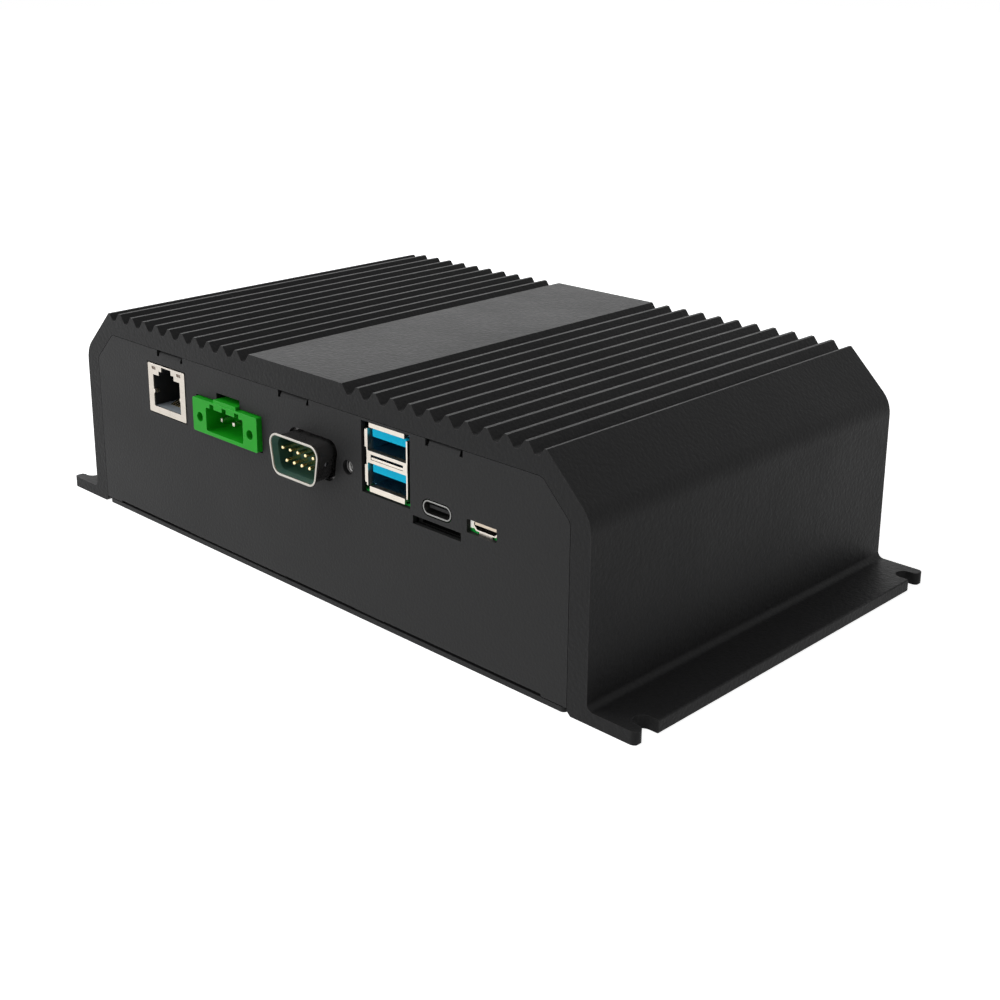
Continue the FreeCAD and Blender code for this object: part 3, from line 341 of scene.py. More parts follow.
def mix_tints(tree, factor, low, high):
    """A colour between low and high, each a tint of three numbers or a socket."""
    low, high = ((*value, 1.0) if isinstance(value, tuple) else value for value in (low, high))
    return add_node(tree, "ShaderNodeMix", {0: factor, 6: low, 7: high}, data_type="RGBA").outputs[2]


def finish(name, low, high, rough, texture, metal=0.0, gloss=0.5, lines=False, edge_tint=None, edge_amount=0.5,
           shine=0.0):
    """A material with two tints, a roughness range and an edge tint if one is given. The edge
    tint is wear on most finishes and a painted highlight on the green header. Its texture is
    the width and depth of its grain and the width of its patches, in mm."""
    grain, depth, patch = texture
    material = FINISHES[name] = bpy.data.materials.new(name)
    material.use_nodes = True
    tree = material.node_tree
    cloud = place_group(tree, GRAIN, grain_size=grain * MM, patch_size=patch * MM)
    fine = place_group(tree, LINES, line_width=grain * MM)["Lines"] if lines else cloud["Grain"]
    blend = calc(tree, "MULTIPLY", calc(tree, "ADD", fine, cloud["Patches"]), 0.5)
    colour = mix_tints(tree, blend, low, high)
    if edge_tint:
        colour = mix_tints(tree, place_group(tree, EDGE_MASK, amount=edge_amount)["Wear"], colour, edge_tint)
    bump = add_node(tree, "ShaderNodeBump", {"Distance": depth * MM, "Height": fine})
    for label, value in {"Metallic": metal, "Specular IOR Level": gloss, "Coat Weight": shine,
                         "Base Color": colour, "Roughness": ramp(tree, blend, 0.3, 0.7, *rough),
                         "Normal": bump.outputs["Normal"]}.items():
        feed(tree, tree.nodes["Principled BSDF"].inputs[label], value)
    return material


# %% [markdown]
# The cover and the panels carry a charcoal powder coat. Powder melts into a skin with an
# orange peel, whose bumps are just under a millimetre wide, and the coat is thin on sharp
# edges, where it looks a little lighter. Its reflection is weak and wide.

# %% Powder coat
finish("cover_coat", (0.014, 0.014, 0.0145), (0.023, 0.023, 0.0235), (0.48, 0.60), (0.85, 0.13, 22),
       gloss=0.115, edge_tint=(0.085, 0.085, 0.085), edge_amount=0.6)
finish("panel_coat", (0.0175, 0.0175, 0.018), (0.028, 0.028, 0.0285), (0.50, 0.62), (0.75, 0.09, 18),
       gloss=0.15, edge_tint=(0.08, 0.08, 0.08), edge_amount=0.5)
print("coats:", len(FINISHES))

# %% [markdown]
# Port shells are rolled strip with a tin or nickel plate: bright, slightly warm, with fine
# lines in the rolling direction. Screws and turned parts are plated or blackened steel and
# brass, and contacts are gold plated.

# %% Metals
PLAIN = {"metal": 1.0}
ROLLED = {"metal": 1.0, "lines": True}
finish("plated_steel", (0.46, 0.42, 0.37), (0.76, 0.70, 0.62), (0.22, 0.36), (0.12, 0.004, 5),
       edge_tint=(0.90, 0.86, 0.80), edge_amount=0.7, **ROLLED)
finish("dark_steel", (0.035, 0.035, 0.038), (0.075, 0.075, 0.08), (0.32, 0.48), (0.15, 0.004, 3),
       edge_tint=(0.25, 0.25, 0.25), **PLAIN)
finish("plated_screw", (0.50, 0.50, 0.48), (0.68, 0.67, 0.63), (0.25, 0.40), (0.15, 0.003, 3), **PLAIN)
finish("brass", (0.52, 0.39, 0.17), (0.70, 0.55, 0.27), (0.25, 0.38), (0.12, 0.003, 4), **PLAIN)
finish("gold_contact", (0.82, 0.64, 0.32), (0.95, 0.80, 0.48), (0.16, 0.28), (0.10, 0.002, 2), **PLAIN)
finish("processor_metal", (0.48, 0.48, 0.48), (0.62, 0.62, 0.62), (0.30, 0.42), (0.10, 0.002, 14),
       **ROLLED)
finish("heat_aluminium", (0.60, 0.60, 0.61), (0.76, 0.76, 0.78), (0.28, 0.45), (0.20, 0.006, 14),
       **ROLLED)
finish("cell_steel", (0.58, 0.58, 0.56), (0.70, 0.70, 0.68), (0.20, 0.32), (0.10, 0.002, 14), **PLAIN)
finish("capacitor_can", (0.55, 0.55, 0.57), (0.70, 0.70, 0.72), (0.24, 0.36), (0.12, 0.003, 14),
       **PLAIN)
print("metals ready:", len(FINISHES), "finishes so far")

# %% [markdown]
# Moulded plastic has an even colour with a very fine spark eroded texture. Flow in the mould
# leaves broad soft patches, and corners catch the light. On the green header that light on the
# corners is a painted highlight, a lighter green laid on with the edge mask. Chips and ferrite
# are pressed or moulded too, only duller.

# %% Plastics and pressed parts
# Painted highlight: the header's edge tint paints its corners a lighter green.
finish("header_green", (0.006, 0.33, 0.008), (0.014, 0.46, 0.018), (0.36, 0.48), (0.20, 0.006, 6),
       gloss=0.18, edge_tint=(0.10, 0.62, 0.12), edge_amount=0.9)
finish("black_plastic", (0.008, 0.008, 0.009), (0.018, 0.018, 0.019), (0.45, 0.60), (0.20, 0.006, 5),
       gloss=0.2)
finish("insulator_teal", (0.004, 0.052, 0.062), (0.056, 0.115, 0.060), (0.45, 0.60), (0.25, 0.006, 2.2),
       gloss=0.2)
finish("port_blue", (0.0, 0.48, 0.80), (0.0, 0.66, 0.98), (0.40, 0.52), (0.20, 0.005, 4), gloss=0.22)
finish("clear_light", (0.74, 0.74, 0.70), (0.90, 0.90, 0.86), (0.12, 0.22), (0.20, 0.003, 2), shine=0.5)
finish("chip_black", (0.014, 0.014, 0.014), (0.030, 0.030, 0.030), (0.42, 0.58), (0.15, 0.005, 4))
finish("pad_grey", (0.26, 0.29, 0.33), (0.38, 0.41, 0.45), (0.80, 0.95), (0.30, 0.02, 3))
finish("ferrite", (0.035, 0.035, 0.036), (0.070, 0.070, 0.070), (0.55, 0.72), (0.25, 0.02, 4))
print("plastics ready:", len(FINISHES), "finishes so far")

# %% [markdown]
# The circuit boards are glass fibre under green solder mask. Copper under the mask shows as
# slightly lighter lines and pads, so one brick pattern draws the tracks and the gloss comes
# from a clear coat over it.

# %% Circuit board
TRACK_PITCH = 1.3
TRACK_GAP = 0.012
BRICKS_PER_UNIT = 10


def cover_tint(name, mask, colour):
    """Lays a plain colour over a finish where the mask is 1."""
    tree = FINISHES[name].node_tree
    socket = tree.nodes["Principled BSDF"].inputs["Base Color"]
    feed(tree, socket, mix_tints(tree, mask, socket.links[0].from_socket, colour))


def draw_tracks(name, colour):
    tree = FINISHES[name].node_tree
    inputs = {"Scale": 1 / (TRACK_PITCH * MM) / BRICKS_PER_UNIT, "Mortar Size": TRACK_GAP,
              "Vector": object_place(tree)}
    tracks = add_node(tree, "ShaderNodeTexBrick", inputs, offset=0.35, squash=1.6)
    cover_tint(name, tracks.outputs["Fac"], colour)


finish("board_green", (0.006, 0.44, 0.05), (0.014, 0.64, 0.09), (0.25, 0.38), (0.5, 0.004, 9),
       shine=0.4)
draw_tracks("board_green", (0.03, 0.62, 0.13))
print("finishes:", len(FINISHES))

# %% [markdown]
# Some finishes belong to one piece, and a few of them change over it. Behind its clean rim the
# serial shell is painted darker, as painted shade. Deep in the stacked ports the tongues get
# painted shade and their shield a painted blue reflection, so a colour comes in along Y there.
# In the network jack the faces that point up are painted pale, as painted light from above.
# Two small windows are brown, and the status light glows.

# %% Finishes of single pieces
RIM_Y = -61.3
PORT_Y = -55.1
LIT_FROM, LIT_FULL = 0.6, 0.9


def painted_light_along_y(name, start, end, colour):
    """Paints light into a finish: it turns to a colour between two places along Y, in mm, as painted shade
    and painted reflection deep in a port.
    """
    tree = FINISHES[name].node_tree
    along = axes_of(tree, object_place(tree))["Y"]
    cover_tint(name, ramp(tree, along, start * MM, end * MM, interpolation_type="SMOOTHSTEP"), colour)


def lit_from_above(name, colour):
    """Paints the faces that point up a pale colour: painted light from above."""
    tree = FINISHES[name].node_tree
    up = axes_of(tree, add_node(tree, "ShaderNodeNewGeometry").outputs["Normal"])["Z"]
    cover_tint(name, ramp(tree, up, LIT_FROM, LIT_FULL), colour)


finish("shell_plate", (0.30, 0.285, 0.26), (0.54, 0.51, 0.465), (0.24, 0.36), (0.12, 0.003, 5),
       edge_tint=(0.72, 0.69, 0.64), edge_amount=0.5, **ROLLED)
# Painted shade: behind its rim the serial shell turns dark, in place of the dark surroundings it reflects.
painted_light_along_y("shell_plate", RIM_Y + 0.5, RIM_Y + 1.0, (0.16, 0.155, 0.155))
finish("blue_tongue", (0.0, 0.48, 0.80), (0.0, 0.66, 0.98), (0.40, 0.52), (0.20, 0.005, 4), gloss=0.12)
# Painted shade: deep in the port the blue tongues and the moulding behind them turn dark blue.
painted_light_along_y("blue_tongue", PORT_Y + 1.2, PORT_Y + 2.4, (0.0, 0.045, 0.072))
finish("port_plate", (0.46, 0.42, 0.37), (0.76, 0.70, 0.62), (0.24, 0.38), (0.14, 0.005, 2.5),
       edge_tint=(0.88, 0.84, 0.78), edge_amount=0.6, **ROLLED)
# Painted reflection: deep in the port the shield turns blue, in place of the blue moulding it mirrors.
painted_light_along_y("port_plate", PORT_Y + 1.0, PORT_Y + 2.0, (0.16, 0.46, 0.64))
finish("jack_lining", (0.006, 0.007, 0.008), (0.020, 0.022, 0.024), (0.40, 0.55), (0.25, 0.006, 5),
       gloss=0.3)
# Painted light: the jack's faces that point up are painted pale, as if lit from above.
lit_from_above("jack_lining", (0.30, 0.34, 0.38))
finish("jack_plate", (0.36, 0.33, 0.29), (0.62, 0.57, 0.51), (0.24, 0.38), (0.14, 0.005, 2.5),
       edge_tint=(0.88, 0.84, 0.78), edge_amount=0.6, **ROLLED)
finish("brown_window", (0.09, 0.045, 0.022), (0.20, 0.11, 0.06), (0.20, 0.32), (0.20, 0.003, 2),
       shine=0.5)
# Painted shade: the card socket is painted almost pure black with little gloss, so the slot looks fully in
# shade.
finish("slot_black", (0.002, 0.002, 0.002), (0.006, 0.006, 0.006), (0.55, 0.70), (0.20, 0.005, 3),
       gloss=0.08)
finish("tan_plate", (0.36, 0.30, 0.24), (0.66, 0.57, 0.46), (0.24, 0.38), (0.12, 0.004, 1.6),
       edge_tint=(0.80, 0.74, 0.65), edge_amount=0.6, **ROLLED)
finish("dull_steel", (0.14, 0.14, 0.137), (0.27, 0.266, 0.26), (0.30, 0.42), (0.12, 0.003, 3),
       edge_tint=(0.42, 0.415, 0.40), edge_amount=0.5, **ROLLED)
light = finish("lit_window", (0.80, 0.80, 0.76), (0.92, 0.92, 0.88), (0.20, 0.30), (0.20, 0.003, 2),
               shine=0.5).node_tree.nodes["Principled BSDF"].inputs
light["Emission Color"].default_value = (1.0, 0.98, 0.92, 1.0)
light["Emission Strength"].default_value = 0.55
print("finishes:", len(FINISHES))

# %% [markdown]
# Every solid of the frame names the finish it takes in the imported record. They all get it
# here, so that the hidden pieces are dressed too, and the visible ones are then made better
# one by one.

# %% Finish for every frame node
SLOTS = {part["node"]: part["material_slot"] for part in frame["record"]["subparts"]}
for name, obj in nodes.items():
    obj.data.materials.clear()
    obj.data.materials.append(FINISHES[SLOTS[name]])
print("nodes dressed:", len(nodes))

# %% [markdown]
# Now the geometry. A frame node is a bare triangle mesh with razor sharp edges, while real
# edges are always a little round and catch the light. One helper takes a copy of a node,
# welds it, joins its flat triangles and rounds the edges with a bevel. Weighted normals let
# the large faces decide the shading, so they stay flat. The copy then replaces the node.

# %% Pieces from frame nodes
OWN_FINISH = {"serial_shell_dressed": "shell_plate", "usb_inserts_dressed": "blue_tongue",
              "usb_shield_dressed": "port_plate", "ethernet_insert_dressed": "jack_lining",
              "ethernet_lights_dressed": "brown_window", "status_light_dressed": "lit_window",
              "oval_shell_dressed": "dull_steel", "serial_jackscrews_threaded": "dull_steel",
              "service_port_lip": "tan_plate", "ethernet_shield_dressed": "jack_plate",
              "card_socket_dressed": "slot_black"}
WELD = 0.001


def add_piece(name, mesh, replaced, slot=None):
    """Puts a mesh in the scene as a piece that stands for some frame nodes."""
    slot = slot or SLOTS[replaced[0]]
    piece = show(name, mesh)
    mesh.materials.clear()
    mesh.materials.append(FINISHES[OWN_FINISH.get(name, slot)])
    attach(piece, "root")
    if replaced:
        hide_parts(*replaced)
    return piece


def round_edges(piece, width, segments=2):
    piece.data.shade_smooth()
    bevel = piece.modifiers.new("round_edges", "BEVEL")
    bevel.width = width * MM
    bevel.segments = segments
    bevel.limit_method = "ANGLE"
    bevel.angle_limit = math.radians(30)
    piece.modifiers.new("flat_faces", "WEIGHTED_NORMAL").keep_sharp = True
    return piece


def welded(node):
    """A copy of a node's mesh with its corners welded and its flat triangles joined."""
    mesh = nodes[node].data.copy()
    form = bmesh.new()
    form.from_mesh(mesh)
    bmesh.ops.remove_doubles(form, verts=form.verts, dist=WELD * MM)
    bmesh.ops.dissolve_limit(form, angle_limit=math.radians(0.5), verts=form.verts, edges=form.edges)
    form.to_mesh(mesh)
    form.free()
    return mesh


def dressed(node, width):
    return round_edges(add_piece(node + "_dressed", welded(node), [node]), width)


def extra_sheet(mesh, width):
    """A small piece of plated sheet that stands for no frame node, with the name of its mesh."""
    return round_edges(add_piece(mesh.name, mesh, [], "plated_steel"), width)


# %% [markdown]
# Folded sheet metal has the same small radius on every cut edge, left by deburring and filled
# by the coat. The bottom plate and the two panels get it here. Bends are already in the frame.

# %% Sheet metal
SHEET_EDGE = 0.18
for node in ("front_panel", "rear_panel", "bottom_cover"):
    print(node, len(dressed(node, SHEET_EDGE).data.polygons), "faces before its bevel")

# %% [markdown]
# The cover is one aluminium extrusion, cut to length. An extrusion is a section pushed along a
# line, so the mesh is made the same way: corners with radii become points, and the points are
# joined to the same points further on. At this stage the roof is still plain.

# %% Cover section
DEPTH = 111.0
HEIGHT = 55.7
BODY_HALF = 90.5
TIP = 103.0
FLANGE = 3.0
WALL_INSIDE = 85.3
CEILING = 49.35
CUT_WALL = 4.8
CUT_LINE = 133.8
CUT_INSIDE = CUT_LINE - CUT_WALL * math.sqrt(2)
BODY_BEND, FLANGE_BEND, INSIDE_BEND = 7.5, 1.6, 2.6
TIP_EDGE = 0.35
FOOT_CUT = 0.9
ARC_STEP = math.radians(9)


def in_metres(spot):
    """A place in mm as a list in metres."""
    return [value * MM for value in spot]


def rounded(corners):
    """Points (x, z) of an outline whose corners are (x, z) or (x, z, radius)."""
    points = []
    for index, corner in enumerate(corners):
        here = Vector(corner[:2])
        radius = corner[2] if len(corner) > 2 else 0
        back = (Vector(corners[index - 1][:2]) - here).normalized()
        ahead = (Vector(corners[(index + 1) % len(corners)][:2]) - here).normalized()
        if radius == 0:
            points.append(here)
            continue
        half = back.angle(ahead) / 2
        centre = here + (back + ahead).normalized() * radius / math.sin(half)
        spoke = here + back * radius / math.tan(half) - centre
        turn = math.pi - 2 * half
        if back.x * ahead.y - back.y * ahead.x > 0:
            turn = -turn
        steps = max(2, round(abs(turn) / ARC_STEP))
        points += [centre + Matrix.Rotation(turn * step / steps, 2) @ spoke for step in range(steps + 1)]
    return points


def stacked(name, loops, closed=False):
    """A mesh from loops of points in mm, one on the next, with its ends filled or joined."""
    form = bmesh.new()
    rows = [[form.verts.new(in_metres(spot)) for spot in loop] for loop in loops]
    for low, high in zip(rows, rows[1:] + rows[:1] if closed else rows[1:]):
        for step in range(len(low)):
            form.faces.new((low[step - 1], low[step], high[step], high[step - 1]))
    if not closed:
        form.faces.new(rows[0])
        form.faces.new(rows[-1])
    bmesh.ops.recalc_face_normals(form, faces=form.faces)
    mesh = bpy.data.meshes.new(name)
    form.to_mesh(mesh)
    form.free()
    return mesh


def prism(name, points, start, end):
    """A closed mesh from an outline (x, z) in mm, carried along Y from start to end."""
    return stacked(name, [[(x, y, z) for x, z in points] for y in (start, end)])


def pillar(name, points, start, end):
    """A closed mesh from an outline (x, y) in mm, carried along Z from start to end."""
    return stacked(name, [[(x, y, z) for x, y in points] for z in (start, end)])


def mirrored(right):
    """The outline whose right half is given from the top middle to the bottom middle."""
    return right + [(-corner[0],) + tuple(corner[1:]) for corner in reversed(right)]


cover_corners = mirrored([
    (CUT_LINE - HEIGHT, HEIGHT), (BODY_HALF, CUT_LINE - BODY_HALF, BODY_BEND),
    (BODY_HALF, FLANGE, FLANGE_BEND), (TIP, FLANGE, TIP_EDGE), (TIP, 0, TIP_EDGE),
    (WALL_INSIDE + FOOT_CUT, 0), (WALL_INSIDE, FOOT_CUT),
    (WALL_INSIDE, CUT_INSIDE - WALL_INSIDE, INSIDE_BEND), (CUT_INSIDE - CEILING, CEILING, INSIDE_BEND)])
cover_block = prism("cover_block", rounded(cover_corners), -DEPTH / 2, DEPTH / 2)
print("cover block:", len(cover_block.vertices), "vertices")

# %% [markdown]
# The cooling fins follow a rule: the same V shaped groove, again and again at one pitch, on
# both sides of a flat band. That suits Geometry Nodes. One helper starts a tree with named
# inputs and one ends it. Another lets a tree work on a seed mesh, keeps the result as plain
# geometry and removes the seed. The short ones add nodes that more than one tree needs.

# %% Geometry Nodes helpers
TOOLS = []


def new_tree(name, **inputs):
    """A geometry node tree with inputs of each kind [label], and the sockets they give."""
    tree = bpy.data.node_groups.new(name, "GeometryNodeTree")
    tree.interface.new_socket("Geometry", in_out="OUTPUT", socket_type="NodeSocketGeometry")
    for kind, labels in {"Geometry": ["Geometry"], **inputs, "Material": ["Material"]}.items():
        for label in labels:
            tree.interface.new_socket(label, in_out="INPUT", socket_type="NodeSocket" + kind)
    return tree, add_node(tree, "NodeGroupInput").outputs


def realized(tree, geometry):
    return add_node(tree, "GeometryNodeRealizeInstances", {0: geometry}).outputs[0]


def close_tree(tree, given, geometry):
    """Ends a tree: instances become real geometry, which takes the material."""
    paint = add_node(tree, "GeometryNodeSetMaterial",
                     {"Geometry": realized(tree, geometry), "Material": given["Material"]})
    add_node(tree, "NodeGroupOutput", {0: paint.outputs[0]})
    return tree


def object_mesh(tree, wanted):
    return add_node(tree, "GeometryNodeObjectInfo", {"Object": wanted}).outputs["Geometry"]


def filleted(tree, curve, count, radius, limit=False):
    """The curve with an arc of so many points in each corner."""
    inputs = {"Curve": curve, "Count": count, "Radius": radius, "Limit Radius": limit}
    return add_node(tree, "GeometryNodeFilletCurve", inputs, mode="POLY").outputs[0]


def swept(tree, path, section):
    """The section carried along the path, with its ends filled."""
    inputs = {"Curve": path, "Profile Curve": section, "Fill Caps": True}
    return add_node(tree, "GeometryNodeCurveToMesh", inputs).outputs[0]


def row_of_points(tree, count, start, step):
    inputs = {"Count": count, "Start Location": start, "Offset": step}
    return add_node(tree, "GeometryNodeMeshLine", inputs, mode="OFFSET").outputs[0]


def on_points(tree, spots, copy, **more):
    inputs = {"Points": spots, "Instance": copy, **more}
    return add_node(tree, "GeometryNodeInstanceOnPoints", inputs).outputs[0]


def boolean(tree, operation, parts, inputs=None):
    """The union of the parts, or what is left when they are taken out of the first mesh."""
    made = add_node(tree, "GeometryNodeMeshBoolean", inputs, operation=operation, solver="EXACT")
    for part in parts:
        feed(tree, made.inputs["Mesh 2"], part)
    return made.outputs[0]


def baked(source, name):
    """The mesh an object shows once its modifiers have worked. The object is removed."""
    mesh = bpy.data.meshes.new_from_object(source.evaluated_get(bpy.context.evaluated_depsgraph_get()))
    bpy.data.objects.remove(source)
    mesh.name = name
    return mesh


def grow(name, mesh, tree, replaced, slot=None, **values):
    """The piece that a tree makes from a seed mesh, with the tree's inputs set by label."""
    slot = slot or SLOTS[replaced[0]]
    seed = show("seed", mesh)
    modifier = seed.modifiers.new("grow", "NODES")
    modifier.node_group = tree
    values["Material"] = FINISHES[slot]
    for item in tree.interface.items_tree:
        label = item.name.replace(" ", "_")
        if item.in_out == "INPUT" and label in values:
            modifier[item.identifier] = values[label]
    return add_piece(name, baked(seed, name), replaced, slot)


def tool(name, mesh):
    """A mesh as an object that trees can read. It never shows and is removed at the end."""
    made = bpy.data.objects.new(name, mesh)
    TOOLS.append(made)
    return made


print("helpers ready, tools so far:", len(TOOLS))

# %% [markdown]
# The tree draws the section of one groove as a trapezoid with two small fillets at its floor,
# sweeps it along the depth, and sets copies of it out on two lines of points. One boolean
# takes all of them out of the block, together with the slots and screw holes that come in as
# an object. The grooves reach a little above the roof, which keeps the cut clean.

# %% Cooling fin tree
MARGIN = 0.4
GROOVE_ARC = 4


def groove_cutter(tree, given, opening):
    """A closed mesh in the shape of one groove, along Y, with its middle at z = 0."""
    spread = calc(tree, "DIVIDE", calc(tree, "SUBTRACT", opening, given["Floor"]), given["Groove Depth"])
    section = add_node(tree, "GeometryNodeCurvePrimitiveQuadrilateral", {
        "Height": calc(tree, "ADD", given["Groove Depth"], MARGIN * MM),
        "Bottom Width": calc(tree, "MULTIPLY_ADD", spread, MARGIN * MM, opening),
        "Top Width": given["Floor"], "Offset": 0.0}, mode="TRAPEZOID").outputs[0]
    place = axes_of(tree, add_node(tree, "GeometryNodeInputPosition").outputs[0])
    at_floor = calc(tree, "GREATER_THAN", place["Y"], 0.0)
    soft = filleted(tree, section, GROOVE_ARC, calc(tree, "MULTIPLY", at_floor, given["Floor Radius"]))
    far = calc(tree, "ADD", calc(tree, "DIVIDE", given["Depth"], 2.0), MM)
    path = add_node(tree, "GeometryNodeCurvePrimitiveLine", {
        "Start": vector(tree, Y=calc(tree, "MULTIPLY", far, -1.0)), "End": vector(tree, Y=far)})
    return swept(tree, path.outputs[0], soft)


def cooling_fin_tree():
    tree, given = new_tree("cooling_fins", Int=["Count"], Object=["Ledges", "Holes"], Float=[
        "Pitch", "Crown", "Band", "Floor", "Floor Radius", "Groove Depth", "Depth", "Height"])
    opening = calc(tree, "SUBTRACT", given["Pitch"], given["Crown"])
    cutter = groove_cutter(tree, given, opening)
    first = calc(tree, "DIVIDE", calc(tree, "ADD", given["Band"], opening), 2.0)
    drop = calc(tree, "DIVIDE", calc(tree, "SUBTRACT", MARGIN * MM, given["Groove Depth"]), 2.0)
    level = calc(tree, "ADD", given["Height"], drop)
    cuts = []
    for side in (-1.0, 1.0):
        start = vector(tree, X=calc(tree, "MULTIPLY", first, side), Z=level)
        step = vector(tree, X=calc(tree, "MULTIPLY", given["Pitch"], side))
        line = row_of_points(tree, given["Count"], start, step)
        cuts.append(realized(tree, on_points(tree, line, cutter)))
    whole = boolean(tree, "UNION", [given["Geometry"], object_mesh(tree, given["Ledges"])])
    cuts.append(object_mesh(tree, given["Holes"]))
    return close_tree(tree, given, boolean(tree, "DIFFERENCE", cuts, {"Mesh 1": whole}))


FIN_TREE = cooling_fin_tree()
print("fin tree:", len(FIN_TREE.nodes), "nodes")

# %% [markdown]
# The tree needs two more shapes. Ledges inside the side walls take the bottom screws. The
# holes are the four open mounting slots and the screw holes. The screws in the frame say
# where their holes are, so each group of joined triangles is read as one screw with its box.

# %% Ledges and holes
SLOT_RADIUS = 2.2
SLOT_REACH = 4.4
SLOT_INSET = 5.1
OVER = 1.0
LEDGE_START = 78.3
LEDGE_SUNK = 2.6
LEDGE_HALF = 41.5
LEDGE_LEVELS = (1.2, 6.7)
WIDE_HOLE = 1.55
SMALL_HOLE = 1.3
HOLE_END = 0.3
HOLE_CORNERS = 24


def combined(name, meshes):
    form = bmesh.new()
    for mesh in meshes:
        form.from_mesh(mesh)
    whole = bpy.data.meshes.new(name)
    form.to_mesh(whole)
    form.free()
    return whole


def islands(node):
    """The box (lowest corner, highest corner) of each separate solid of a node, in mm."""
    form = bmesh.new()
    form.from_mesh(nodes[node].data)
    bmesh.ops.remove_doubles(form, verts=form.verts, dist=WELD * MM)
    waiting = set(form.verts)
    boxes = []
    while waiting:
        reached = [waiting.pop()]
        for vert in reached:
            near = {edge.other_vert(vert) for edge in vert.link_edges} & waiting
            waiting -= near
            reached.extend(near)
        axes = list(zip(*(vert.co / MM for vert in reached)))
        boxes.append((Vector([min(axis) for axis in axes]), Vector([max(axis) for axis in axes])))
    form.free()
    return sorted(boxes, key=lambda found: tuple(round(value, 3) for value in found[0]))


def centre(box):
    """The middle of a box (lowest corner, highest corner)."""
    return [(low + high) / 2 for low, high in zip(*box)]


def arc(x, y, radius, start, end, steps=16):
    """Points on an arc, with its angles in degrees."""
    angles = [math.radians(start + (end - start) * step / steps) for step in range(steps + 1)]
    return [(x + radius * math.cos(angle), y + radius * math.sin(angle)) for angle in angles]


def slot_outline():
    """One open slot, and beside it the room round the rounded tip of the flange's end strip."""
    y, end, out = DEPTH / 2 - SLOT_INSET, DEPTH / 2, TIP + OVER
    strip = (SLOT_INSET - SLOT_RADIUS) / 2
    seat = arc(TIP - SLOT_REACH + SLOT_RADIUS, y, SLOT_RADIUS, 90, 270)
    return seat + [(out, y - SLOT_RADIUS), (out, end + OVER)] + arc(TIP - strip, end - strip, strip, 90, -90)


def hole(box, radius, low):
    """A round hole on the axis of a screw's box, from a height to just past the screw's end."""
    x, y = centre(box)[:2]
    ring = arc(x, y, radius, 0, 360 - 360 / HOLE_CORNERS, HOLE_CORNERS - 1)
    return pillar("hole", ring, low, box[1].z + HOLE_END)


def cover_holes():
    holes = [pillar("slot", [(side * x, end * y) for x, y in slot_outline()], -OVER, FLANGE + OVER)
             for side in (-1, 1) for end in (-1, 1)]
    for node in ("panel_tab_screws", "heat_block_screws", "board_standoffs"):
        holes += [hole(box, WIDE_HOLE, CEILING - OVER) for box in islands(node)]
    holes += [hole(box, SMALL_HOLE, 0) for box in islands("bottom_cover_screws")
              if abs(box[0].x) > LEDGE_START]
    return combined("cover_holes", holes)


def block(name, x_ends, y_ends, z_ends):
    """A box in mm between the two places given along each axis."""
    (left, right), (low, high) = x_ends, z_ends
    return prism(name, [(left, low), (right, low), (right, high), (left, high)], *y_ends)


ledges = tool("ledges", combined("ledges", [
    block("ledge", (side * LEDGE_START, side * (WALL_INSIDE + LEDGE_SUNK)), (-LEDGE_HALF, LEDGE_HALF),
          LEDGE_LEVELS) for side in (-1, 1)]))
holes = tool("holes", cover_holes())
print("cutters for slots and holes:", len(holes.data.vertices), "vertices")

# %% [markdown]
# The outermost fin has the cut edge of the roof on its other side. Its crest gets a small flat
# there, as the other fins have, from a bevel that only works on edges with a weight.

# %% Outer crests
CREST_X = 78.36
CREST_FLAT = 0.45
CREST_NEAR = 0.05
CREST_BELOW = 0.5


def flat_crests(piece):
    mesh = piece.data
    weight = mesh.attributes.new("bevel_weight_edge", "FLOAT", "EDGE")
    marked = 0
    for edge in mesh.edges:
        ends = [mesh.vertices[index].co / MM for index in edge.vertices]
        if all(abs(abs(end.x) - CREST_X) < CREST_NEAR and end.z > HEIGHT - CREST_BELOW for end in ends):
            weight.data[edge.index].value = 1.0
            marked += 1
    bevel = piece.modifiers.new("flat_crests", "BEVEL")
    bevel.limit_method = "WEIGHT"
    bevel.width = CREST_FLAT * MM
    bevel.segments = 1
    return marked


print("outer crests at", CREST_X, "mm from the middle")

# %% [markdown]
# Now the cover itself can grow from its block. The numbers are the rule of the fins: how many
# grooves there are on each side, how far apart they are, and how wide and deep each one is.
# The bevel that rounds the edges comes last, so the cuts get it as well.

# %% Cover
GROOVES = 11
FIN_PITCH = 5.67
FIN_CROWN = 0.87
BAND = 34.1
GROOVE_FLOOR = 1.3
FLOOR_RADIUS = 0.5
GROOVE_DEPTH = 2.3
COVER_EDGE = 0.18
cover = grow("finned_cover", cover_block, FIN_TREE, ["heatsink_cover"], Count=GROOVES,
             Pitch=FIN_PITCH * MM, Crown=FIN_CROWN * MM, Band=BAND * MM, Floor=GROOVE_FLOOR * MM,
             Floor_Radius=FLOOR_RADIUS * MM, Groove_Depth=GROOVE_DEPTH * MM, Depth=DEPTH * MM,
             Height=HEIGHT * MM, Ledges=ledges, Holes=holes)
print("outer crests:", flat_crests(cover))
round_edges(cover, COVER_EDGE)
print("cover:", len(cover.data.polygons), "faces with", 2 * GROOVES, "grooves")

# %% [markdown]
# Port shells are stamped from thin strip and folded round their plastic, so their edges are
# hardly rounded at all. Moulded parts have a larger radius, because a mould can't be cut
# sharp inside. The same helper dresses both, with the radius that each of them has.

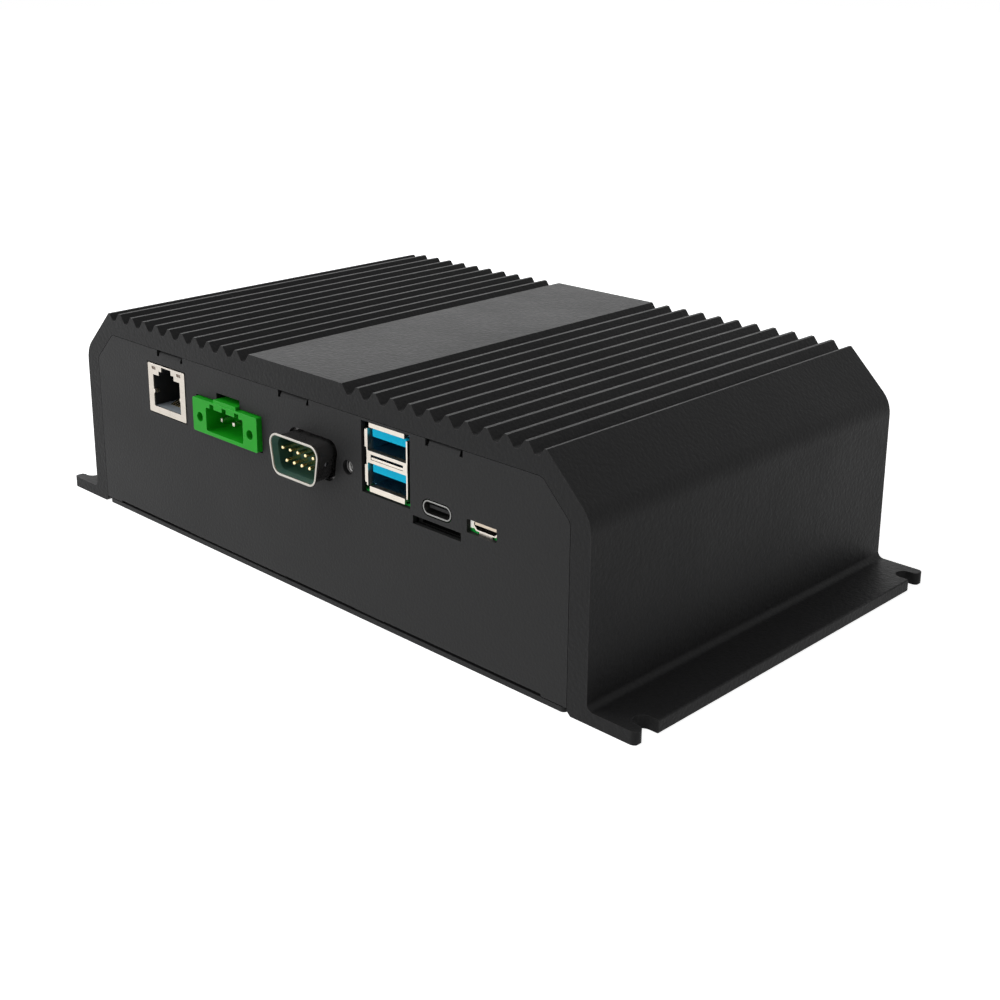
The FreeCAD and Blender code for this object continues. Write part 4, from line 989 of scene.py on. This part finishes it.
# %% Shells and mouldings
EDGES = {"ethernet_shield": 0.09, "serial_shell": 0.12, "oval_shell": 0.07,
         "service_shell": 0.05, "terminal_header": 0.24, "ethernet_insert": 0.10,
         "serial_insulator": 0.12, "usb_inserts": 0.15, "oval_tongue": 0.08, "service_tongue": 0.06,
         "card_socket": 0.08, "terminal_pins": 0.10, "status_light": 0.28, "ethernet_lights": 0.08}
for node, width in EDGES.items():
    dressed(node, width)
print("shells and mouldings:", len(EDGES))

# %% [markdown]
# The lips round the stacked ports are four separate strips, bent out of one sheet. Where two of
# them meet, the sheet is cut away, so the corners show dark gaps. A Boolean modifier takes the
# gaps out, and its result is kept as a plain mesh before the bevel rounds the new edges too.
# Between the two ports a second strip of sheet covers the lower part of the slot.

# %% Gaps between the lips
PORTS_X = 31.35
PORTS_LOW = 32.05
PORTS_HIGH = 48.35
PORTS_MIDDLE = 40.55
LIP_OUT = 7.25
LIP_CORNER = 1.5
LIP_DEEP = 2.2
LIP_STRIP = 0.6
LIP_SPLIT = 1.0
CAN_HALF = 6.72
CUT_PAST = 0.5
SHIELD_EDGE = 0.07
BRIDGE_HALF = 5.2
BRIDGE_EDGE = 0.08


def lip_gaps():
    deep = (PORT_Y - CUT_PAST, PORT_Y + LIP_DEEP)
    gaps = []
    for side in (-1, 1):
        outer, corner, strip = (PORTS_X + side * (LIP_OUT + reach)
                                for reach in (CUT_PAST, -LIP_CORNER, -LIP_STRIP))
        gaps += [block("gap", (outer, corner), deep, (PORTS_LOW - CUT_PAST, PORTS_LOW + LIP_CORNER)),
                 block("gap", (outer, corner), deep, (PORTS_HIGH - LIP_CORNER, PORTS_HIGH + CUT_PAST)),
                 block("gap", (outer, strip), deep, (PORTS_MIDDLE - LIP_SPLIT, PORTS_MIDDLE + LIP_SPLIT))]
    right_lip = (PORTS_X + CAN_HALF, PORTS_X + LIP_OUT + CUT_PAST)
    gaps.append(block("gap", right_lip, deep, (PORTS_LOW + LIP_SPLIT, PORTS_HIGH - LIP_SPLIT)))
    return combined("lip_gaps", gaps)


def carved(node, cutter):
    """What is left of a node's mesh when another mesh is taken out of it."""
    whole = show("whole", welded(node))
    carve = whole.modifiers.new("carve", "BOOLEAN")
    carve.object = tool("cutter", cutter)
    carve.solver = "EXACT"
    return baked(whole, node)


shield = add_piece("usb_shield_dressed", carved("usb_shield", lip_gaps()), ["usb_shield"])
round_edges(shield, SHIELD_EDGE)
extra_sheet(block("bridge_strip", (PORTS_X - BRIDGE_HALF, PORTS_X + BRIDGE_HALF),
                  (PORT_Y + 0.1, PORT_Y + 0.35), (PORTS_MIDDLE - 0.75, PORTS_MIDDLE - 0.2)), BRIDGE_EDGE)
print("shield with its gaps:", len(shield.data.polygons), "faces")

# %% [markdown]
# Inside the serial shell a thin teal sleeve runs from the insulator up to the rim. It is painted
# shade: it covers the shell's inner wall, in place of the shade and the teal reflection there, so
# the port looks dark green instead of bright. Its outline is a D, wider at the top. The same points
# on several levels, with an outer and an inner skin, are joined into one closed sleeve.

# %% Serial shade sleeve
SERIAL_X = 6.15
SERIAL_Z = 36.25
SLANT = math.tan(math.radians(10))
RIM_SIZE = (18.5, 10.1)
SHELL_SIZE = (16.9, 9.3)
SHELL_CORNER = 2.7
SKIN, SKIN_INSIDE, RIM_INSIDE = 0.58, 0.80, 0.72
MOUTH_Y, NECK_Y, FACE_Y = RIM_Y + 0.35, RIM_Y + 1.45, RIM_Y + 5.2


def shade_sleeve_loop(y, size, inset):
    """The D of the serial port at one place along Y, inset from its outline."""
    half, high = (value / 2 - inset for value in size)
    low = half - 2 * high * SLANT
    corners = ((-half, high), (half, high), (low, -high), (-low, -high))
    outline = rounded([(SERIAL_X + x, SERIAL_Z + z, SHELL_CORNER - inset) for x, z in corners])
    return [(x, y, z) for x, z in outline]


shade_sleeve = [shade_sleeve_loop(*loop) for loop in (
    (MOUTH_Y, RIM_SIZE, SKIN), (NECK_Y, SHELL_SIZE, SKIN), (FACE_Y, SHELL_SIZE, SKIN),
    (FACE_Y, SHELL_SIZE, SKIN_INSIDE), (NECK_Y, SHELL_SIZE, SKIN_INSIDE), (MOUTH_Y, RIM_SIZE, RIM_INSIDE))]
# Painted shade: a teal sleeve over the shell's inner wall, which makes it look dark.
add_piece("serial_lining", stacked("serial_lining", shade_sleeve, closed=True), [], "insulator_teal")
print("lining:", len(shade_sleeve), "loops")

# %% [markdown]
# The small service port shows a folded upper lip of bare sheet above its mouth.

# %% Service port lip
SERVICE_X = 61.4
SERVICE_Y = -54.65
SERVICE_EDGE = 0.12
service_lip = extra_sheet(block("service_port_lip", (SERVICE_X - 3.1, SERVICE_X + 3.2),
                                (SERVICE_Y - 0.15, SERVICE_Y + 0.4),
                                (PORTS_LOW + 1.35, PORTS_LOW + 2.1)), SERVICE_EDGE)
print("service port lip:", len(service_lip.data.polygons), "faces")

# %% [markdown]
# Screws, pins and threaded bores are turned parts. A turned mesh is a stack of rings round one
# axis. Where a radius is a rule instead of a number, the same stack also gives a hexagon
# recess or a thread: the radius then depends on the angle and the height.

# %% Turned parts
RING = 24


def turned(name, rings, closed=False):
    """A mesh round the Z axis from rings (radius or rule, height) in mm, its ends filled or joined."""
    loops = []
    for radius, height in rings:
        loops.append([])
        for step in range(RING):
            angle = math.tau * step / RING
            reach = radius(angle, height) if callable(radius) else radius
            loops[-1].append((reach * math.cos(angle), reach * math.sin(angle), height))
    return stacked(name, loops, closed)


def hexagon(flats):
    """The rule for a hexagon of that width across its flats."""
    return lambda angle, height: flats / 2 / math.cos(angle % (math.pi / 3) - math.pi / 6)


def thread(crest, root, pitch, start, end):
    """Rings of a thread between two heights, with a plain ring at the root before and after."""
    def ridge(angle, height):
        turn = (height / pitch - angle / math.tau) % 1.0
        return crest + (root - crest) * abs(2 * turn - 1)
    count = round((end - start) / pitch * 6)
    heights = [start + (end - start) * step / count for step in range(1, count)]
    return [(root, start)] + [(ridge, height) for height in heights] + [(root, end)]


def crisp(piece, angle=35):
    """Smooth shading with sharp edges where faces meet at more than angle degrees."""
    piece.data.shade_smooth()
    piece.data.set_sharp_from_angle(angle=math.radians(angle))
    return piece


print("hexagon corner of a 2 mm recess:", round(hexagon(2.0)(0.0, 0.0), 3), "mm from the axis")

# %% [markdown]
# Two kinds of screw hold this case. Pan heads sit on a surface, so their crown is rounded.
# Countersunk heads sink into a cone and end flush. Both have a hexagon recess and a metric
# thread, drawn here with its real pitch.

# %% Screw meshes
M3, M3_HEAD, M3_TALL = (1.5, 0.5), 2.75, 1.9
M25, M25_HEAD, M25_TALL = (1.25, 0.45), 2.3, 1.5


def screw_end(radius, pitch, start, length):
    """The threaded shank with its small cone at the tip. A metric is its radius and pitch."""
    root = radius - 0.6 * pitch
    return thread(radius, root, pitch, start, length - 0.3) + [(root - 0.3, length)]


def pan_screw(head, height, metric, length):
    """Its seat is at height zero, with the head below and the thread above."""
    crown = 0.35 * height
    recess = hexagon(head)
    rings = [(recess, 0.55 * height - height), (recess, -height)]
    for step in range(5):
        angle = math.radians(22.5 * step)
        rings.append((head - crown + crown * math.sin(angle), crown - height - crown * math.cos(angle)))
    rings += [(head, -0.08), (head - 0.08, 0.0)]
    return turned("pan_screw", rings + screw_end(*metric, 0.0, length))


def flat_screw(head, metric, length):
    """Its face is at height zero, and the screw stands above it."""
    radius, pitch = metric
    cone = head - radius
    recess = hexagon(head)
    rings = [(recess, 0.55 * cone), (recess, 0.0), (head - 0.1, 0.0), (head - 0.05, 0.05)]
    return turned("flat_screw", rings + screw_end(radius, pitch, cone + 0.6 * pitch, length))


print("M3 pan screw:", len(pan_screw(M3_HEAD, M3_TALL, M3, 6.0).polygons), "faces")

# %% [markdown]
# A set of screws is one mesh on many points, which is another job for Geometry Nodes. The
# frame gives the points. Nobody lines up the recesses when driving screws, so each copy gets
# its own turn from a random value with a fixed seed.

# %% Screw set tree


def copies_tree():
    tree, given = new_tree("copies_on_points", Object=["Copy"], Float=["Turn"], Int=["Seed"])
    chance = add_node(tree, "FunctionNodeRandomValue", {3: given["Turn"], "Seed": given["Seed"]},
                      data_type="FLOAT")
    turn = vector(tree, Z=chance.outputs[1])
    copy = object_mesh(tree, given["Copy"])
    return close_tree(tree, given, on_points(tree, given["Geometry"], copy, Rotation=turn))


COPIES = copies_tree()


def copies(node, name, mesh, spots, turn, seed):
    """Copies of a mesh at places in mm, as the piece that stands for a node."""
    seeds = bpy.data.meshes.new("points")
    seeds.from_pydata([in_metres(spot) for spot in spots], [], [])
    piece = grow(node + "_threaded", seeds, COPIES, [node], Copy=tool(name, mesh), Turn=turn, Seed=seed)
    print(node, len(spots), name + "s")
    return crisp(piece)


def screw_set(node, mesh, lift, seed, flip=False):
    """Copies of a screw at the islands of a node, lift mm above their lowest point."""
    if flip:
        mesh.transform(Matrix.Rotation(math.pi, 4, "X"))
    spots = [(*centre(box)[:2], box[0].z + lift) for box in islands(node)]
    return copies(node, "screw", mesh, spots, math.tau, seed)


def reach(node):
    """How far the first solid of a node goes from its lowest to its highest point."""
    low, high = islands(node)[0]
    return high.z - low.z


print("screw set tree:", len(COPIES.nodes), "nodes")

# %% [markdown]
# There are five sets of screws, and each takes its length from the frame. A set's seed gives
# its turns. The screws of the module point down, so their mesh is turned over first.

# %% Screws
screw_set("bottom_cover_screws", flat_screw(M25_HEAD, M25, reach("bottom_cover_screws")), 0.0, 3)
screw_set("heat_block_screws", flat_screw(M3_HEAD, M3, reach("heat_block_screws")), 0.0, 5)
for node, seed in (("panel_tab_screws", 7), ("board_screws", 11)):
    screw_set(node, pan_screw(M3_HEAD, M3_TALL, M3, reach(node) - M3_TALL), M3_TALL, seed)
module_length = reach("module_screws") - M25_TALL
screw_set("module_screws", pan_screw(M25_HEAD, M25_TALL, M25, module_length), module_length, 13, flip=True)

# %% [markdown]
# A plug's locking screws go into threaded inserts, two beside the serial port and two in the
# green header. They are turned tubes with an inside thread. The profile goes up the outside
# and comes back down the bore, and its last ring joins the first.

# %% Threaded inserts
BORE = 1.25
JACK_PITCH = 0.635
JACK_BLIND = 0.6
JACK_COLLAR = 3.2
NUT_PITCH = 0.5


def along_y(mesh):
    """Turns a mesh made round Z so that it lies along Y."""
    mesh.transform(Matrix.Rotation(math.radians(-90), 4, "X"))
    return mesh


def inserts(node, outside, pitch, blind=0.0):
    """Threaded inserts on the axes of a node's solids, with their mouth in front. A rule gives
    the rings outside, and the bore ends a blind length before the back."""
    low, high = islands(node)[0]
    length = high.y - low.y
    inside = thread(BORE, BORE + 0.55 * pitch, pitch, 0.25, length - blind)
    mesh = turned("insert", outside(length) + inside[::-1] + [(BORE + 0.3, 0.0)], closed=True)
    spots = [(x, low.y, z) for x, _, z in map(centre, islands(node))]
    return copies(node, "insert", along_y(mesh), spots, 0.0, 1)


def jack_outside(length):
    """A thin sleeve from the mouth, a thicker collar behind it, and the blind end of the bore."""
    step = length - JACK_COLLAR
    return [(1.5, 0.0), (1.6, 0.1), (1.6, step), (2.5, step), (2.6, step + 0.1), (2.6, length - 0.1),
            (2.5, length), (0.3, length), (0.3, length - JACK_BLIND)]


def nut_outside(length):
    return [(1.8, 0.0), (1.9, 0.1), (1.9, length - 0.1), (1.8, length)]


inserts("serial_jackscrews", jack_outside, JACK_PITCH, JACK_BLIND)
inserts("terminal_nuts", nut_outside, NUT_PITCH)

# %% [markdown]
# Contacts are wires or strips that bend along the same line, side by side at a fixed pitch.
# The tree takes that line as its seed, rounds its bends, sweeps a flat section along it and
# repeats the result. A head can be added to each copy, such as the round front of a pin.

# %% Contact row tree
BEND_ARC = 6
EDGE_ARC = 2


def contact_tree():
    tree, given = new_tree("contact_row", Int=["Count"], Object=["Head"],
                           Float=["Pitch", "Width", "Thickness", "Bend"])
    line = add_node(tree, "GeometryNodeMeshToCurve", {0: given["Geometry"]}).outputs[0]
    bent = filleted(tree, line, BEND_ARC, given["Bend"], limit=True)
    section = add_node(tree, "GeometryNodeCurvePrimitiveQuadrilateral",
                       {"Width": given["Width"], "Height": given["Thickness"]}).outputs[0]
    soft = filleted(tree, section, EDGE_ARC, calc(tree, "DIVIDE", given["Thickness"], 5.0))
    both = add_node(tree, "GeometryNodeJoinGeometry")
    for part in (swept(tree, bent, soft), object_mesh(tree, given["Head"])):
        feed(tree, both.inputs[0], part)
    span = calc(tree, "MULTIPLY", calc(tree, "SUBTRACT", given["Count"], 1.0), given["Pitch"])
    row = row_of_points(tree, given["Count"], vector(tree, X=calc(tree, "MULTIPLY", span, -0.5)),
                        vector(tree, X=given["Pitch"]))
    return close_tree(tree, given, on_points(tree, row, both.outputs[0]))


CONTACT_TREE = contact_tree()


def contact_row(name, replaced, x, stops, count, pitch, width, thickness, bend, head=None):
    """Contacts that follow a line through stops (y, z) in mm, in a row with its middle at x."""
    path = bpy.data.meshes.new("path")
    path.from_pydata([in_metres((x, y, z)) for y, z in stops],
                     [(index, index + 1) for index in range(len(stops) - 1)], [])
    piece = grow(name, path, CONTACT_TREE, replaced, None if replaced else "gold_contact",
                 Count=count, Pitch=pitch * MM, Width=width * MM, Thickness=thickness * MM,
                 Bend=bend * MM, Head=head)
    print(name, count, "contacts at a pitch of", round(pitch, 2), "mm")
    return crisp(piece, 40)


def contact_rows(node, name, stops_of, *section, head_of=None):
    """Both rows of a node's contacts. A rule gives the stops from the box of a row's first one."""
    rows = {}
    for box in islands(node):
        rows.setdefault(round(box[1].z, 1), []).append(box)
    for level, place, replaced in zip(sorted(rows, reverse=True), ("upper", "lower"), ([node], [])):
        (low, high), (last, end) = rows[level][0], rows[level][-1]
        count, middle, stops = len(rows[level]), (low.x + end.x) / 2, stops_of(low, high)
        head = head_of(middle, low.y, stops[0][1]) if head_of else None
        contact_row(name + "_" + place, replaced, middle, stops, count, (last.x - low.x) / (count - 1),
                    *section, head)


print("contact row tree:", len(CONTACT_TREE.nodes), "nodes")

# %% [markdown]
# A serial pin is round in front, with a soft nose for the plug, and square behind, where it
# turns down into the board. The two rows turn down at different places. Each row is grown with
# the round front as its head. The frame's solids say where the rows are and how many pins
# they hold.

# %% Serial pins
PIN_RADIUS = 0.5
PIN_SQUARE = 0.6
PIN_BEND = 0.9
PIN_NOSE = 0.45


def pin_stops(low, high):
    level, bend_at = high.z - PIN_RADIUS, high.y - PIN_SQUARE / 2
    return [(low.y + PIN_NOSE, level), (bend_at, level), (bend_at, low.z)]


def pin_head(x, y, z):
    """The round front of a pin, whose tip is at that place in mm."""
    nose = [(0.12, 0.0), (0.3, 0.06), (0.42, 0.2), (PIN_RADIUS, PIN_NOSE), (PIN_RADIUS, 5.0)]
    mesh = along_y(turned("pin_head", nose))
    mesh.transform(Matrix.Translation(in_metres((x, y, z))))
    return tool("pin_head", mesh)


contact_rows("serial_pins", "serial_pins", pin_stops, PIN_SQUARE, PIN_SQUARE, PIN_BEND, head_of=pin_head)

# %% [markdown]
# Each blue tongue carries four flat springs on its underside. A spring starts at the tip of the
# tongue, bows down to meet the plug, and runs back along the moulding.

# %% Port springs
SPRING_WIDTH = 1.0
SPRING_SHEET = 0.15
SPRING_BEND = 0.6


def spring_stops(low, high):
    top = high.z - SPRING_SHEET / 2
    return [(low.y, top), (low.y + 0.8, top - 0.35), (low.y + 2.6, top - 0.05), (high.y, top - 0.05)]


contact_rows("usb_contacts", "port_springs", spring_stops, SPRING_WIDTH, SPRING_SHEET, SPRING_BEND)

# %% [markdown]
# Two small stampings remain. The network jack's shield has a spring at half height in each side
# of its opening, which grips the plug. The serial shell has one round dimple in each sloping
# side, which does the same for its plug.

# %% Grips
JACK_X = -52.7
JACK_HALF = 5.95
JACK_Z = 37.8
JACK_Y = -55.65
GRIP_HALF = 0.65
GRIP_EDGE = 0.08
GRIP_ENDS = (JACK_Y + 0.05, JACK_Y + 1.6)
DIMPLE = [(0.6, -0.1), (0.55, 0.04), (0.35, 0.13), (0.05, 0.16)]
DIMPLE_Y = RIM_Y + 3.6


def grip(side):
    """A low bump with sloping ends on one side of the jack's opening."""
    edge = JACK_X + side * JACK_HALF
    tip, back = edge - side * 0.35, edge + side * 0.2
    profile = [(back, -GRIP_HALF), (edge, -GRIP_HALF), (tip, -GRIP_HALF / 2),
               (tip, GRIP_HALF / 2), (edge, GRIP_HALF), (back, GRIP_HALF)]
    return prism("grip", [(x, JACK_Z + z) for x, z in profile], *GRIP_ENDS)


def dimple(side):
    """A shallow dome on one sloping side of the serial shell."""
    dome = turned("dimple", DIMPLE)
    dome.transform(Matrix.Rotation(side * math.radians(100), 4, "Y"))
    half = (SHELL_SIZE[0] - SHELL_SIZE[1] * SLANT) / 2
    dome.transform(Matrix.Translation(in_metres((SERIAL_X + side * half, DIMPLE_Y, SERIAL_Z))))
    return dome


grips = extra_sheet(combined("jack_grips", [grip(-1), grip(1)]), GRIP_EDGE)
# Painted shade: the dimples are painted dark steel, darker than the plated shell they belong to.
crisp(add_piece("shell_dimples", combined("shell_dimples", [dimple(-1), dimple(1)]), [], "dark_steel"), 60)
print("grips and dimples:", len(grips.data.polygons), "faces in the grips")

# %% [markdown]
# The contacts of the network jack are eight spring wires. They lie low at the mouth and rise
# towards the back, where a plug presses on them. The same tree makes them in one row.

# %% Network contacts
WIRES = 8
WIRE_PITCH = 1.02
WIRE_WIDTH = 0.45
WIRE = 0.3
WIRE_BEND = 1.2
low, high = (Vector(corner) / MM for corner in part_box("ethernet_contacts"))
foot = low.z + WIRE / 2
contact_row("network_contacts", ["ethernet_contacts"], (low.x + high.x) / 2,
            [(low.y, foot), (low.y + 0.9, foot + 0.25), (high.y, high.z - WIRE / 2)],
            WIRES, WIRE_PITCH, WIRE_WIDTH, WIRE, WIRE_BEND)

# %% [markdown]
# The last step prints the box of the finished model.

# %% Sizes


def write_sizes():
    visual_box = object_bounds()
    return visual_box


print("visual box:", [[round(value, 4) for value in corner] for corner in write_sizes()])

# %% Finish
for made in TOOLS:
    bpy.data.objects.remove(made)
